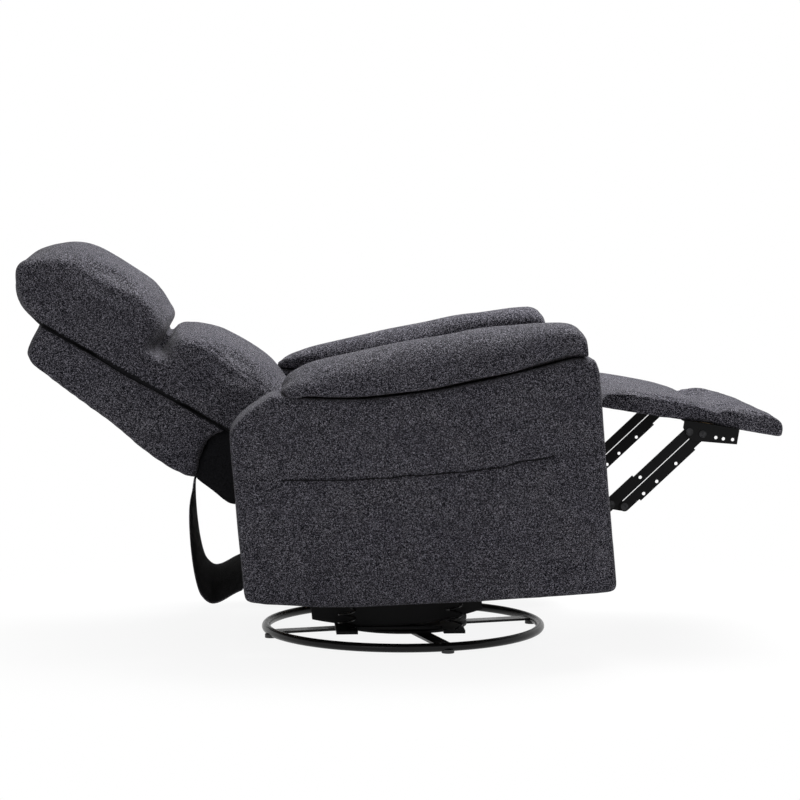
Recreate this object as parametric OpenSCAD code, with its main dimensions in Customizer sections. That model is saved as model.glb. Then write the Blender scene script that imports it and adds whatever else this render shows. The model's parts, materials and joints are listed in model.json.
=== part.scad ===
// Swivel rocker recliner, drawn fully reclined with its footrest out and rocked back on its base.
// Millimetres. +X is forward, +Y is the sitter's left and +Z is up.
// The origin is on the swivel axis at the floor.
// Parts of the chair are drawn level and then leaned back about the centre of the rocker arc.

/* [Swivel base] */
// Outside diameter of the floor ring
ring_d = 600; // [560:10:640]
// Diameter of the ring's tube
ring_tube_d = 18; // [16:1:20]
// Height of the glides under the ring
glide_h = 3; // [2:0.5:4]
// Width of a spoke
spoke_w = 34; // [28:1:42]
// Thickness of a spoke
spoke_t = 5; // [4:0.5:6]
// Turn of the spokes from the chair's centre line
spoke_turn = 15; // [0:5:40]
// Diameter of the two swivel plates
swivel_d = 270; // [250:5:290]
// Thickness of a swivel plate
swivel_t = 5; // [4:0.5:6]
// Diameter of the swivel pin
swivel_pin_d = 16; // [12:1:20]

/* [Rocker] */
// Radius of the rocker arc
rock_r = 680; // [660:5:700]
// Place of the rocking line, forward of the swivel axis
rock_x = -56; // [-62:1:-50]
// Angle that the chair is rocked back in this pose
lean_deg = 5; // [4:0.5:6]
// Thickness of a rocker cam
cam_t = 28; // [22:1:32]
// Half of the distance between the cams' middles
cam_y = 164; // [156:1:172]
// Angle of the cam's rear end behind the level rocking line
cam_rear_deg = 17; // [15:0.5:18]
// Angle of the cam's front end before the level rocking line
cam_front_deg = 13; // [12:0.5:14]
// Wire diameter of a rocker spring
spring_wire_d = 4; // [3:0.5:5]
// Mean diameter of a rocker spring
spring_d = 34; // [30:1:38]

/* [Arms] */
// Overall width over the two arms
chair_w = 896; // [880:4:912]
// Clear width between the arms
arm_gap = 600; // [596:2:604]
// Rear edge of the side panel, behind the swivel axis
panel_rear = 385; // [380:1:390]
// Front edge of the side panel, before the swivel axis
panel_front = 347; // [343:1:351]
// Height of the panel's bottom edge at the front
panel_low = 99; // [94:1:104]
// Height that the bottom edge climbs towards the rear
panel_climb = 47; // [40:1:52]
// Height of the panel's top seam at its lowest
panel_top = 524; // [518:1:530]
// Thickness of the padded walls of an arm
panel_wall = 12; // [9:1:15]
// Thickness of an arm pad above its seam
pad_h = 98; // [90:1:106]

/* [Seat] */
// Top of the seat frame
seat_z = 380; // [376:1:384]
// Height of the seat cushion at its front
seat_h = 122; // [112:1:130]
// Front of the seat cushion
seat_front = 326; // [320:1:328]
// Rear of the seat cushion
seat_rear = 156; // [150:1:160]
// Height of a seat rail
seat_rail_h = 40; // [34:1:44]
// Thickness of a seat rail
seat_rail_t = 25; // [20:1:28]

/* [Back] */
// Place of the back hinge behind the swivel axis
hinge_x = 315; // [312:1:318]
// Height of the back hinge
hinge_z = 396; // [393:1:399]
// Angle of the back from upright in this pose
recline_deg = 55; // [54:0.5:56]
// Overall width of the back
back_w = 580; // [568:2:584]
// Height of the back frame above its hinge
back_h = 528; // [520:1:536]
// Depth of the outer back shell behind the seam
shell_d = 119; // [112:1:124]
// Depth of the lumbar cushion before the seam
lumbar_d = 160; // [154:1:166]
// Depth of the headrest before the seam
head_d = 184; // [178:1:190]
// Thickness of the back frame's boards
back_board_t = 22; // [18:1:24]

/* [Footrest] */
// Place of the pad's near end
foot_x = 359; // [357:1:362]
// Height of the pad's near end, on its underside
foot_z = 454; // [450:1:457]
// Slope of the pad down to its far end
foot_slope = 14.5; // [13:0.5:16]
// Length of the footrest pad
foot_len = 386; // [376:1:392]
// Height of the footrest pad
foot_h = 42; // [38:1:46]
// Width of the footrest pad
foot_w = 560; // [548:2:566]
// Distance of the bracket's first pivot from the near end
pivot_in = 190; // [186:1:194]
// Distance between the bracket's two pivots
pivot_gap = 27.5; // [27:0.5:30]
// Depth of the pivots under the pad
pivot_drop = 21.5; // [20:0.5:23]
// Length of the two long links between their pivots
long_link = 215.5; // [212:0.5:218]
// Angle of the long links in this pose
long_link_deg = 38; // [37:0.5:39]
// Place of the swing link's pivot on the seat
swing_x = 228; // [225:1:231]
// Height of the swing link's pivot on the seat
swing_z = 353; // [351:1:356]
// Length of the upper link behind the crossing pivot
tail_len = 46; // [45:0.5:50]

/* [Hidden] */

// Overrun of every cut
cut = 1;
// Gap between a soft piece and its neighbour
soft_gap = 0.4;
// Play round a pin, on its radius
play = 0.05;
// Gap between a rivet head and the link under it
head_gap = 0.2;
// Facets of round parts
$fn = 64;

fabric_col = [0.22, 0.23, 0.28];
metal_col = [0.06, 0.06, 0.07];
wood_col = [0.74, 0.62, 0.44];
black_cloth_col = [0.05, 0.05, 0.05];
plastic_col = [0.10, 0.10, 0.11];
steel_col = [0.55, 0.56, 0.58];

// Swivel base, worked out upwards from the floor
ring_r = (ring_d - ring_tube_d) / 2;
ring_z = glide_h + ring_tube_d / 2;
spoke_z = ring_z - spoke_t / 2;
lower_plate_z = spoke_z + spoke_t;
bearing_z = lower_plate_z + swivel_t;
bearing_h = 8;
bearing_play = 0.1;
upper_plate_z = bearing_z + bearing_h + 2 * bearing_play;
base_rail_t = 6;
base_rail_z = upper_plate_z + swivel_t;
cam_gap = 0.3;
cam_low = base_rail_z + base_rail_t + cam_gap;
rock_z = cam_low + rock_r;
// Height of the cams' lowest point in the chair's own frame
cam_datum = 30;
rock_level = cam_datum + rock_r;
glide_d = 26;
spoke_count = 4;
hub_d = 150;
bearing_in_share = 0.46;
bearing_out_share = 0.62;
pin_head_d = 30;
pin_head_h = 3;
base_rail_w = 48;
spring_y = 220;
spring_foot_w = 44;

// Chair frame: every part of the chair is drawn level and leaned back by this module
module leaned() {
    translate([rock_x, 0, rock_z]) rotate([0, -lean_deg, 0]) translate([-rock_x, 0, -rock_level]) children();
}
function lean_point(x, z) = [
    rock_x + (x - rock_x) * cos(lean_deg) - (z - rock_level) * sin(lean_deg),
    rock_z + (x - rock_x) * sin(lean_deg) + (z - rock_level) * cos(lean_deg)];

// Layers of the mechanism from the middle of the chair outwards
steel_t = 3;
layer_gap = 1;
arm_in = arm_gap / 2;
arm_out = chair_w / 2;
base_plate_t = 4;
base_plate_y = arm_in - base_plate_t;
carrier_y = base_plate_y - layer_gap - steel_t;
seat_plate_y = 272;
swing_layer = seat_plate_y + steel_t + layer_gap;
long_layer = swing_layer + steel_t + layer_gap;
bracket_layer = long_layer + steel_t + layer_gap;
rivet_d = 8;
rivet_head_d = 15;
rivet_head_h = 2;

// Seat carriers
carrier_len = 80;
carrier_deg = 3;
carrier_low_z = 240;
carrier_front_x = 30;
carrier_rear_x = -150;
carrier_w = 26;
carrier_pin_d = 10;
spacer_d = 18;
carrier_dx = carrier_len * sin(carrier_deg);
carrier_dz = carrier_len * cos(carrier_deg);

// Footrest linkage: the long links stay parallel and the swing link turns with the pad
function foot_point(x, z) = [
    foot_x + x * cos(foot_slope) + z * sin(foot_slope),
    foot_z - x * sin(foot_slope) + z * cos(foot_slope)];
long_dir = [cos(long_link_deg), sin(long_link_deg)];
near_pivot = foot_point(pivot_in, -pivot_drop);
far_pivot = foot_point(pivot_in + pivot_gap, -pivot_drop);
swing_pivot = [swing_x, swing_z];
cross_pivot = near_pivot - long_link * long_dir;
knee_pivot = far_pivot - long_link * long_dir;
tail_pivot = cross_pivot - tail_len * long_dir;
idler_pivot = swing_pivot + tail_pivot - cross_pivot;
swing_w = 22;
knee_w = 20;
long_link_w = 20;
link_step = 4;

// Cross rails that carry the cams
cross_rail_h = 38;
cross_rail_w = 40;
cross_rail_z = 112;
front_rail_x = 40;
rear_rail_x = -180;

// Helpers

module bar2d(p, q, w) {
    run = q - p;
    translate(p) rotate(atan2(run.y, run.x)) {
        translate([0, -w / 2]) square([norm(run), w]);
        circle(d = w);
        translate([norm(run), 0]) circle(d = w);
    }
}

// Draws a flat shape in the side plane (x, z) and gives it a thickness from y0 outwards; side is -1 or 1
module side_plate(side, y0, t) {
    translate([0, side > 0 ? y0 + t : -y0, 0]) rotate([90, 0, 0]) linear_extrude(height = t) children();
}

module side_pin(side, p, y0, y1, d) {
    translate([p.x, side > 0 ? y1 : -y0, p.y]) rotate([90, 0, 0]) cylinder(d = d, h = y1 - y0);
}

module both_sides() {
    for (side = [-1, 1]) {
        $side = side;
        children();
    }
}

function wrap(i, n) = ((i % n) + n) % n;
function blend4(a, b, c, d, t) = (2 * b + (c - a) * t + (2 * a - 5 * b + 4 * c - d) * t * t
    + (3 * b - a - 3 * c + d) * t * t * t) / 2;
// A closed smooth curve through points, with steps points for each one given
function smooth_loop(pts, steps) = [
    for (i = [0 : len(pts) - 1]) for (j = [0 : steps - 1])
        blend4(pts[wrap(i - 1, len(pts))], pts[i], pts[wrap(i + 1, len(pts))], pts[wrap(i + 2, len(pts))],
            j / steps)];
function smooth_line(pts, steps) = concat([
    for (i = [0 : len(pts) - 2]) for (j = [0 : steps - 1])
        blend4(pts[max(i - 1, 0)], pts[i], pts[i + 1], pts[min(i + 2, len(pts) - 1)], j / steps)],
    [pts[len(pts) - 1]]);
function mean(pts, i = 0) = i == len(pts) ? [0, 0] : pts[i] / len(pts) + mean(pts, i + 1);

// Closes a stack of rings of equal length into one solid
module skin(rings) {
    n = len(rings[0]);
    m = len(rings);
    centre_first = [for (a = [0 : 2]) mean3(rings[0], a)];
    centre_last = [for (a = [0 : 2]) mean3(rings[m - 1], a)];
    points = concat([for (r = rings) for (p = r) p], [centre_first, centre_last]);
    faces = concat(
        [for (k = [0 : m - 2]) for (i = [0 : n - 1])
            [k * n + i, k * n + (i + 1) % n, (k + 1) * n + (i + 1) % n]],
        [for (k = [0 : m - 2]) for (i = [0 : n - 1])
            [k * n + i, (k + 1) * n + (i + 1) % n, (k + 1) * n + i]],
        [for (i = [0 : n - 1]) [m * n, (i + 1) % n, i]],
        [for (i = [0 : n - 1]) [m * n + 1, (m - 1) * n + i, (m - 1) * n + (i + 1) % n]]);
    polyhedron(points = points, faces = faces, convexity = 6);
}
function mean3(ring, a, i = 0) = i == len(ring) ? 0 : ring[i][a] / len(ring) + mean3(ring, a, i + 1);

// A cushion with a side outline: full size and crowned towards up across the middle, its sides drawn in
// and rounded at the ends; hold is the share of that kept off its back, tall spreads the crown over a pad
station_shares = [-1, -0.985, -0.94, -0.86, -0.72, -0.48, 0, 0.48, 0.72, 0.86, 0.94, 0.985, 1];
side_round_power = 6;
function side_pull(s, depth, power) = depth * (1 - sqrt(1 - pow(abs(s), power)));
module side_cushion(outline, half_w, pull, rise, up, power = side_round_power, hold = 0, tall = 0) {
    c = mean(outline);
    skin([for (s = station_shares) [for (p = outline)
        let (
            reach = norm(p - c),
            lift = min(1, max(0, (p - c) * up / (tall > 0 ? tall : reach))),
            held = 1 - hold * pow(max(0, (c.x - p.x) / reach), 2),
            kept = 1 - held * side_pull(s, pull, power) / max(reach, 2 * pull),
            g = c + (p - c) * kept + rise * (1 - s * s) * lift * lift * up)
        [g.x, s * half_w, g.y]]]);
}

// Swivel base

module ring_shape() {
    translate([0, 0, ring_z]) rotate_extrude($fn = 96) translate([ring_r, 0]) circle(d = ring_tube_d, $fn = 24);
}

module base_ring() {
    color(metal_col) ring_shape();
}

module base_spokes() {
    color(metal_col) difference() {
        union() {
            translate([0, 0, spoke_z]) cylinder(d = hub_d, h = spoke_t);
            for (i = [0 : spoke_count - 1]) rotate(spoke_turn + i * 360 / spoke_count)
                translate([0, -spoke_w / 2, spoke_z]) cube([ring_r, spoke_w, spoke_t]);
        }
        ring_shape();
        translate([0, 0, spoke_z - cut]) cylinder(d = swivel_pin_d, h = spoke_t + 2 * cut);
    }
}

module ring_glides() {
    color(plastic_col) for (i = [0 : spoke_count - 1]) rotate(spoke_turn + i * 360 / spoke_count)
        difference() {
            translate([ring_r, 0, 0]) cylinder(d = glide_d, h = glide_h + ring_tube_d / 4);
            ring_shape();
        }
}

module swivel_plate(z) {
    difference() {
        translate([0, 0, z]) cylinder(d = swivel_d, h = swivel_t);
        translate([0, 0, z - cut]) cylinder(r = swivel_pin_d / 2 + play, h = swivel_t + 2 * cut);
    }
}

module swivel_lower_plate() {
    color(metal_col) swivel_plate(lower_plate_z);
}

module swivel_bearing() {
    color(steel_col) translate([0, 0, bearing_z + bearing_play]) difference() {
        cylinder(r = swivel_d * bearing_out_share / 2, h = bearing_h);
        translate([0, 0, -cut]) cylinder(r = swivel_d * bearing_in_share / 2, h = bearing_h + 2 * cut);
    }
}

module swivel_upper_plate() {
    color(metal_col) swivel_plate(upper_plate_z);
}

module swivel_pin() {
    color(steel_col) {
        translate([0, 0, spoke_z]) cylinder(d = swivel_pin_d, h = base_rail_z + cam_gap - spoke_z);
        translate([0, 0, base_rail_z + cam_gap]) cylinder(d = pin_head_d, h = pin_head_h);
    }
}

// Rocker

rear_spring = [lean_point(rear_rail_x, cross_rail_z).x, lean_point(rear_rail_x, cross_rail_z).y];
front_spring = [lean_point(front_rail_x, cross_rail_z).x, lean_point(front_rail_x, cross_rail_z).y];

module rocker_base() {
    rail_rear = rear_spring.x - spring_foot_w / 2;
    rail_len = front_spring.x - rear_spring.x + spring_foot_w;
    foot_reach = 2 * spring_y + spring_foot_w;
    color(metal_col) {
        for (side = [-1, 1]) translate([rail_rear, side * cam_y - base_rail_w / 2, base_rail_z])
            cube([rail_len, base_rail_w, base_rail_t]);
        for (x = [rear_spring.x, front_spring.x])
            translate([x - spring_foot_w / 2, -foot_reach / 2, base_rail_z])
            cube([spring_foot_w, foot_reach, base_rail_t]);
    }
}

coil_turns = 4;
coil_steps = 12;
coil_sides = 6;
module coil(height) {
    steps = coil_turns * coil_steps;
    rise = height - spring_wire_d;
    skin([for (k = [0 : steps])
        let (a = k * 360 / coil_steps, z = spring_wire_d / 2 + rise * k / steps)
        [for (i = [0 : coil_sides - 1])
            let (b = i * 360 / coil_sides, r = spring_d / 2 + spring_wire_d / 2 * cos(b))
            [r * sin(a), -r * cos(a), z + spring_wire_d / 2 * sin(b)]]]);
}

module rocker_springs() {
    foot_z = base_rail_z + base_rail_t;
    color(steel_col) both_sides() {
        for (p = [rear_spring, front_spring]) translate([p.x, $side * spring_y, foot_z + soft_gap])
            coil(p.y - foot_z - 2 * soft_gap - spring_d / 2 * sin(lean_deg));
    }
}

module rocker_cam(side) {
    color(metal_col) leaned() side_plate(side, cam_y - cam_t / 2, cam_t) intersection() {
        translate([rock_x, rock_level]) circle(r = rock_r, $fn = 360);
        polygon([
            [rock_x - rock_r * sin(cam_rear_deg), 0],
            [rock_x + rock_r * sin(cam_front_deg), 0],
            [rock_x + rock_r * sin(cam_front_deg), cross_rail_z],
            [rock_x - rock_r * sin(cam_rear_deg), cross_rail_z]]);
    }
}

module rocker_cam_right() {
    rocker_cam(-1);
}

module rocker_cam_left() {
    rocker_cam(1);
}

module cross_rail(x) {
    leaned() translate([x - cross_rail_w / 2, -arm_in, cross_rail_z])
        cube([cross_rail_w, 2 * arm_in, cross_rail_h]);
}

module front_cross_rail() {
    color(wood_col) cross_rail(front_rail_x);
}

module rear_cross_rail() {
    color(wood_col) cross_rail(rear_rail_x);
}

rear_rail_t = 22;
rear_rail_h = 70;
rear_rail_up = 8;
rear_rail_z = panel_low + panel_climb + rear_rail_up;
module rear_rail() {
    color(wood_col) leaned() translate([-panel_rear, -arm_in, rear_rail_z])
        cube([rear_rail_t, 2 * arm_in, rear_rail_h]);
}

// Arms: the panel's top seam and bottom edge are shares of the panel's length and of its own rises
panel_len = panel_rear + panel_front;
seam_rise = 41;
seam_shares = [[0.130, 0.61], [0.182, 0.44], [0.272, 0.17], [0.363, 0], [0.455, 0.05], [0.568, 0.11],
    [0.635, 0.24], [0.721, 0.42], [0.791, 0.61], [0.861, 0.80], [0.913, 0.95], [0.947, 1]];
shoulder_shares = [[0.000, -1.12], [0.008, -0.83], [0.042, -0.22], [0.090, 0.29]];
bottom_shares = [[0.977, 0], [0.627, 0.17], [0.430, 0.32], [0.302, 0.43], [0.182, 0.64], [0.034, 1]];
function panel_x(share) = -panel_rear + share * panel_len;
seam = [for (p = seam_shares) [panel_x(p.x), panel_top + p.y * seam_rise]];
shoulder = [for (p = shoulder_shares) [panel_x(p.x), panel_top + p.y * seam_rise]];
panel_bottom = [for (p = bottom_shares) [panel_x(p.x), panel_low + p.y * panel_climb]];
corner_r = 14;
panel_crest = smooth_line(concat(shoulder, seam,
    [[panel_front - corner_r / 2, panel_top + seam_rise - corner_r / 3]]), 3);
panel_outline = concat(
    panel_crest,
    [[panel_front, panel_top + seam_rise - corner_r * 2],
        [panel_front, panel_low + corner_r], [panel_front - corner_r / 4, panel_low + corner_r / 4]],
    panel_bottom,
    [[-panel_rear, panel_low + panel_climb + corner_r * 2]]);
function seam_z(x) = lookup(x, panel_crest);
function edge_z(x) = lookup(x, [for (i = [len(panel_bottom) - 1 : -1 : 0]) panel_bottom[i]]);

module side_panel(side) {
    depth = arm_out - arm_in;
    color(fabric_col) leaned() difference() {
        side_plate(side, arm_in, depth) polygon(panel_outline);
        side_plate(side, arm_in + panel_wall, depth - 2 * panel_wall) arm_hollow();
        if (side < 0) side_plate(side, arm_in - cut, panel_wall + 2 * cut) {
            translate(cable_top) circle(d = cable_d + cable_room);
            translate(cable_end) circle(d = cable_d + 2 * cable_room);
        }
    }
}

// The hollow inside an arm is open at the bottom
module arm_hollow() {
    polygon(concat(
        [[-panel_rear + panel_wall, 0], [-panel_rear + panel_wall, shoulder[1].y - panel_wall]],
        [for (p = seam) p - [0, panel_wall]],
        [[panel_front - panel_wall, panel_top + seam_rise - corner_r - panel_wall],
            [panel_front - panel_wall, 0]]));
}

module side_panel_right() {
    side_panel(-1);
}

module side_panel_left() {
    side_panel(1);
}

frame_board_t = 20;
frame_gap = 0.5;
module arm_frame(side) {
    width = arm_out - arm_in - 2 * panel_wall - 2 * frame_gap;
    rear_x = -panel_rear + panel_wall + frame_gap;
    front_x = panel_front - panel_wall - frame_gap;
    color(wood_col) leaned() side_plate(side, arm_in + panel_wall + frame_gap, width) difference() {
        polygon(concat(
            [[rear_x, edge_z(rear_x) + corner_r], [rear_x, shoulder[1].y - panel_wall - frame_gap]],
            [for (p = seam) p - [0, panel_wall + frame_gap]],
            [[front_x, panel_top + seam_rise - corner_r - panel_wall - frame_gap],
                [front_x, panel_low + corner_r]]));
        polygon(concat(
            [[rear_x + frame_board_t, edge_z(rear_x) + corner_r + frame_board_t],
                [rear_x + frame_board_t, shoulder[1].y - panel_wall - frame_board_t]],
            [for (p = seam) if (p.x < front_x - frame_board_t) p - [0, panel_wall + frame_board_t]],
            [[front_x - frame_board_t, panel_top + seam_rise - corner_r - panel_wall - frame_board_t],
                [front_x - frame_board_t, panel_low + corner_r + frame_board_t]]));
    }
}

module arm_frame_right() {
    arm_frame(-1);
}

module arm_frame_left() {
    arm_frame(1);
}

// Arm pad: a long bolster whose underside follows the top seam and whose sides bulge over the panel
pad_top_shares = [[0.148, 0.36], [0.167, 0.56], [0.190, 0.66], [0.227, 0.78], [0.284, 0.86], [0.370, 0.95],
    [0.478, 1.03], [0.587, 1.10], [0.698, 1.19], [0.806, 1.20], [0.881, 1.17], [0.949, 1.09], [0.975, 0.96],
    [0.988, 0.78], [0.990, 0.60]];
pad_swell = 5;
pad_gap = 0.9;
pad_ring = 28;
pad_side_power = 2.6;
pad_end_share = 0.72;
pad_end_rings = 3;
pad_over = 1.02;
function bulge(a, n) = pow(pow(abs(cos(a)), n) + pow(abs(sin(a)), n), -1 / n);
module arm_pad(side) {
    tops = smooth_line([for (p = pad_top_shares) [panel_x(p.x), p.y]], 2);
    middle = (arm_in + arm_out) / 2;
    half = (arm_out - arm_in) / 2 + pad_swell;
    last = len(tops) - 1;
    color(fabric_col) leaned() translate([0, side * middle, 0]) rotate(90) skin([for (k = [last : -1 : 0])
        let (
            x = tops[k].x,
            z0 = seam_z(x) + pad_gap,
            h = max(tops[k].y * pad_h + panel_top - z0, pad_swell),
            reach = half * min(1, pad_end_share + (1 - pad_end_share) * min(k, last - k) / pad_end_rings))
        [for (i = [0 : pad_ring - 1])
            let (a = i * 360 / pad_ring, b = bulge(a, pad_side_power))
            [-reach * b * cos(a), -x, max(z0, z0 + h * (1 + b * sin(a) * pad_over) / 2)]]]);
}

module arm_pad_right() {
    arm_pad(-1);
}

module arm_pad_left() {
    arm_pad(1);
}

// Mechanism base plates on the inner faces of the arms, with an arm that rises to the back hinge
base_plate_h = 46;
hinge_arm_w = 36;
module base_plate(side) {
    rear_low = [carrier_rear_x - carrier_w / 2, carrier_low_z];
    front_low = [carrier_front_x + carrier_w, carrier_low_z];
    color(metal_col) leaned() side_plate(side, base_plate_y, base_plate_t) difference() {
        union() {
            bar2d(rear_low, front_low, base_plate_h);
            bar2d([carrier_rear_x, carrier_low_z], [-hinge_x, hinge_z], hinge_arm_w);
        }
        for (p = [[carrier_rear_x, carrier_low_z], [carrier_front_x, carrier_low_z]]) translate(p)
            circle(d = carrier_pin_d);
        translate([-hinge_x, hinge_z]) circle(d = carrier_pin_d);
    }
}

module base_plate_right() {
    base_plate(-1);
}

module base_plate_left() {
    base_plate(1);
}

back_post_y = 262;
back_bracket_t = 4;
module hinge_pins() {
    color(steel_col) leaned() both_sides() {
        for (x = [carrier_rear_x, carrier_front_x]) {
            side_pin($side, [x, carrier_low_z], carrier_y - head_gap, arm_in, carrier_pin_d);
            side_pin($side, [x, carrier_low_z], carrier_y - head_gap - rivet_head_h, carrier_y - head_gap,
                spacer_d);
        }
        side_pin($side, [-hinge_x, hinge_z], back_post_y + head_gap, arm_in, carrier_pin_d);
        side_pin($side, [-hinge_x, hinge_z], back_post_y + back_bracket_t + head_gap, base_plate_y, spacer_d);
    }
}

// Rear flap: a cloth held at the shell's lower edge and at the rear rail, hanging between them in a loop
flap_w = 544;
flap_t = 1.6;
flap_hang = 252;
flap_hem = 12;
seam_x = 16;
shell_low = 108;
function back_point(x, z) = [
    -hinge_x + x * cos(recline_deg) - z * sin(recline_deg),
    hinge_z + x * sin(recline_deg) + z * cos(recline_deg)];
function shell_point(p) = back_point(seam_x + p.x * shell_d, shell_low + p.y * (back_h - shell_low));
flap_top = (shell_point([-0.97, 0.03]) + shell_point([-0.91, 0])) / 2 - [0, soft_gap];
flap_low = [-panel_rear - soft_gap - flap_t, rear_rail_z + flap_hem];
flap_shares = [[0, 0], [-0.01, -0.03], [-0.188, -0.209], [-0.253, -0.448], [-0.240, -0.706], [-0.136, -0.893],
    [0.125, -1], [0.439, -0.988], [0.765, -0.952]];
module rear_flap() {
    run = flap_low.x - flap_top.x;
    line = concat(smooth_line(concat(
        [for (p = flap_shares) flap_top + [p.x * run, p.y * flap_hang]],
        [flap_low - [0, flap_hem]]), 4), [flap_low]);
    n = len(line);
    outer = [for (i = [0 : n - 1])
        let (d = line[min(i + 1, n - 1)] - line[max(i - 1, 0)])
        line[i] + [d.y, -d.x] / norm(d) * flap_t];
    color(fabric_col) leaned() side_plate(1, -flap_w / 2, flap_w)
        polygon(concat(line, [for (i = [n - 1 : -1 : 0]) outer[i]]));
}

// Release: a bezel let into the inner face of the right arm, its finger lever and the cable behind it
bezel_x = 190;
bezel_drop = 24;
bezel_z = panel_top - bezel_drop;
bezel_w = 96;
bezel_h = 40;
bezel_t = 3;
lever_w = 62;
lever_h = 22;
lever_t = 5;
lever_gap = 1.5;
cable_d = 5;
module release_bezel() {
    color(plastic_col) leaned() translate([bezel_x, -arm_in, bezel_z]) difference() {
        translate([-bezel_w / 2, 0, 0]) cube([bezel_w, bezel_t, bezel_h]);
        translate([-lever_w / 2 - lever_gap, -cut, (bezel_h - lever_h) / 2 - lever_gap])
            cube([lever_w + 2 * lever_gap, bezel_t + 2 * cut, lever_h + 2 * lever_gap]);
    }
}

module release_lever() {
    color(plastic_col) leaned()
        translate([bezel_x - lever_w / 2, -arm_in + cam_gap, bezel_z + (bezel_h - lever_h) / 2]) {
            translate([0, 0, lever_t / 2]) cube([lever_w, lever_t, lever_h - lever_t / 2]);
            translate([0, lever_t / 2, lever_t / 2]) rotate([0, 90, 0]) cylinder(d = lever_t, h = lever_w);
        }
}

// The cable leaves through the arm's inner wall behind the bezel and comes back behind the base plate
cable_room = 3.5;
cable_top = [bezel_x, bezel_z + cable_d];
cable_end = [68, 249.5];
cable_y = arm_in + soft_gap;
cable_reach = 38;
cable_shares = [[1, 1, 0], [1, 1, 0.18], [0.995, 0.995, 0.46], [0.97, 0.95, 0.76], [0.82, 0.79, 0.95],
    [0.61, 0.59, 1], [0.36, 0.375, 0.97], [0.16, 0.19, 0.89], [0.06, 0.075, 0.71], [0.01, 0.012, 0.45],
    [0, 0, 0.18], [0, 0, 0]];
module release_cable() {
    run = cable_top - cable_end;
    path = [for (p = cable_shares)
        [cable_end.x + p.x * run.x, -cable_y - p.z * cable_reach, cable_end.y + p.y * run.y]];
    color(black_cloth_col) leaned() tube(smooth_line(path, 3), cable_d, 8, [1, 0, 0]);
}

function unit(v) = v / norm(v);
module tube(path, d, sides, ref) {
    n = len(path);
    skin([for (k = [0 : n - 1])
        let (
            t = unit(path[min(k + 1, n - 1)] - path[max(k - 1, 0)]),
            a = unit(cross(ref, t)),
            b = cross(t, a))
        [for (i = [0 : sides - 1]) path[k] + d / 2 * (cos(i * 360 / sides) * a - sin(i * 360 / sides) * b)]]);
}

// Back: drawn upright with +X to the front and +Z up from the hinge, then laid back
module reclined() {
    leaned() translate([-hinge_x, 0, hinge_z]) rotate([0, -recline_deg, 0]) children();
}

board_back = seam_x - back_board_t;
board_mid = seam_x - back_board_t / 2;
post_w = 40;
post_foot = 20;
module back_frame() {
    rails = [post_foot, back_h / 2, back_h - post_w];
    color(wood_col) reclined() {
        for (y = [-back_post_y, back_post_y - post_w]) translate([board_back, y, -post_foot])
            cube([back_board_t, post_w, back_h + post_foot]);
        for (z = rails) translate([board_back, -back_post_y + post_w, z])
            cube([back_board_t, 2 * (back_post_y - post_w), post_w]);
    }
}

bracket_strap_w = 20;
bracket_tip_w = 17;
bracket_strap_len = 180;
bracket_bend = 60;
bracket_eye_d = 30;
module back_brackets() {
    color(metal_col) reclined() both_sides() {
        side_plate($side, back_post_y, back_bracket_t) difference() {
            union() {
                bar2d([0, 0], [board_mid, bracket_bend], bracket_strap_w);
                bar2d([board_mid, bracket_bend], [board_mid, bracket_strap_len], bracket_tip_w);
                circle(d = bracket_eye_d);
            }
            circle(r = carrier_pin_d / 2 + play);
        }
    }
}

shell_shares = [[0, 0], [0, 1], [-0.12, 1.01], [-0.38, 1], [-0.50, 0.975], [-0.58, 0.92], [-0.69, 0.76],
    [-0.83, 0.53], [-0.945, 0.31], [-1, 0.17], [-1, 0.09], [-0.97, 0.03], [-0.91, 0], [-0.58, 0.035],
    [-0.33, 0.04], [-0.13, 0.02]];
module outer_back_shell() {
    rise = back_h - shell_low;
    pocket_y = back_post_y + back_bracket_t + soft_gap;
    color(fabric_col) reclined() difference() {
        side_plate(1, -back_w / 2, back_w) polygon([for (p = shell_shares) [
            seam_x + p.x * shell_d, shell_low + p.y * rise]]);
        translate([board_back - soft_gap, -pocket_y, 0]) cube([shell_d, 2 * pocket_y, back_h + soft_gap]);
    }
}

lumbar_low = 62;
lumbar_high = 303;
lumbar_crown = 4;
lumbar_shares = [[0, 0.20], [0.02, 0.08], [0.28, 0], [0.50, 0.05], [0.72, 0.18], [0.86, 0.30], [0.95, 0.39],
    [1, 0.50], [1, 0.68], [0.965, 0.82], [0.88, 0.925], [0.76, 0.98], [0.38, 1], [0.05, 0.995], [0, 0.97],
    [0, 0.60]];
cushion_pull = 14;
cushion_crown = 12;
back_pull = 34;
back_pull_power = 3;
back_pull_hold = 0.75;
back_side_in = 7;
module back_form(outline, detail, rise, up) {
    color(fabric_col) reclined() side_cushion(firm_back(smooth_loop(outline, detail)),
        back_w / 2 - back_side_in, back_pull, rise, up, back_pull_power, back_pull_hold);
}

module lumbar_cushion() {
    back_form([for (p = lumbar_shares) [
        seam_x + soft_gap + p.x * (lumbar_d - lumbar_crown), -lumbar_low + p.y * (lumbar_low + lumbar_high)]],
        3, lumbar_crown, [1, 0]);
}

// Keeps an outline off the boards behind it
function firm_back(pts) = [for (p = pts) [max(p.x, seam_x + soft_gap), p.y]];

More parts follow.
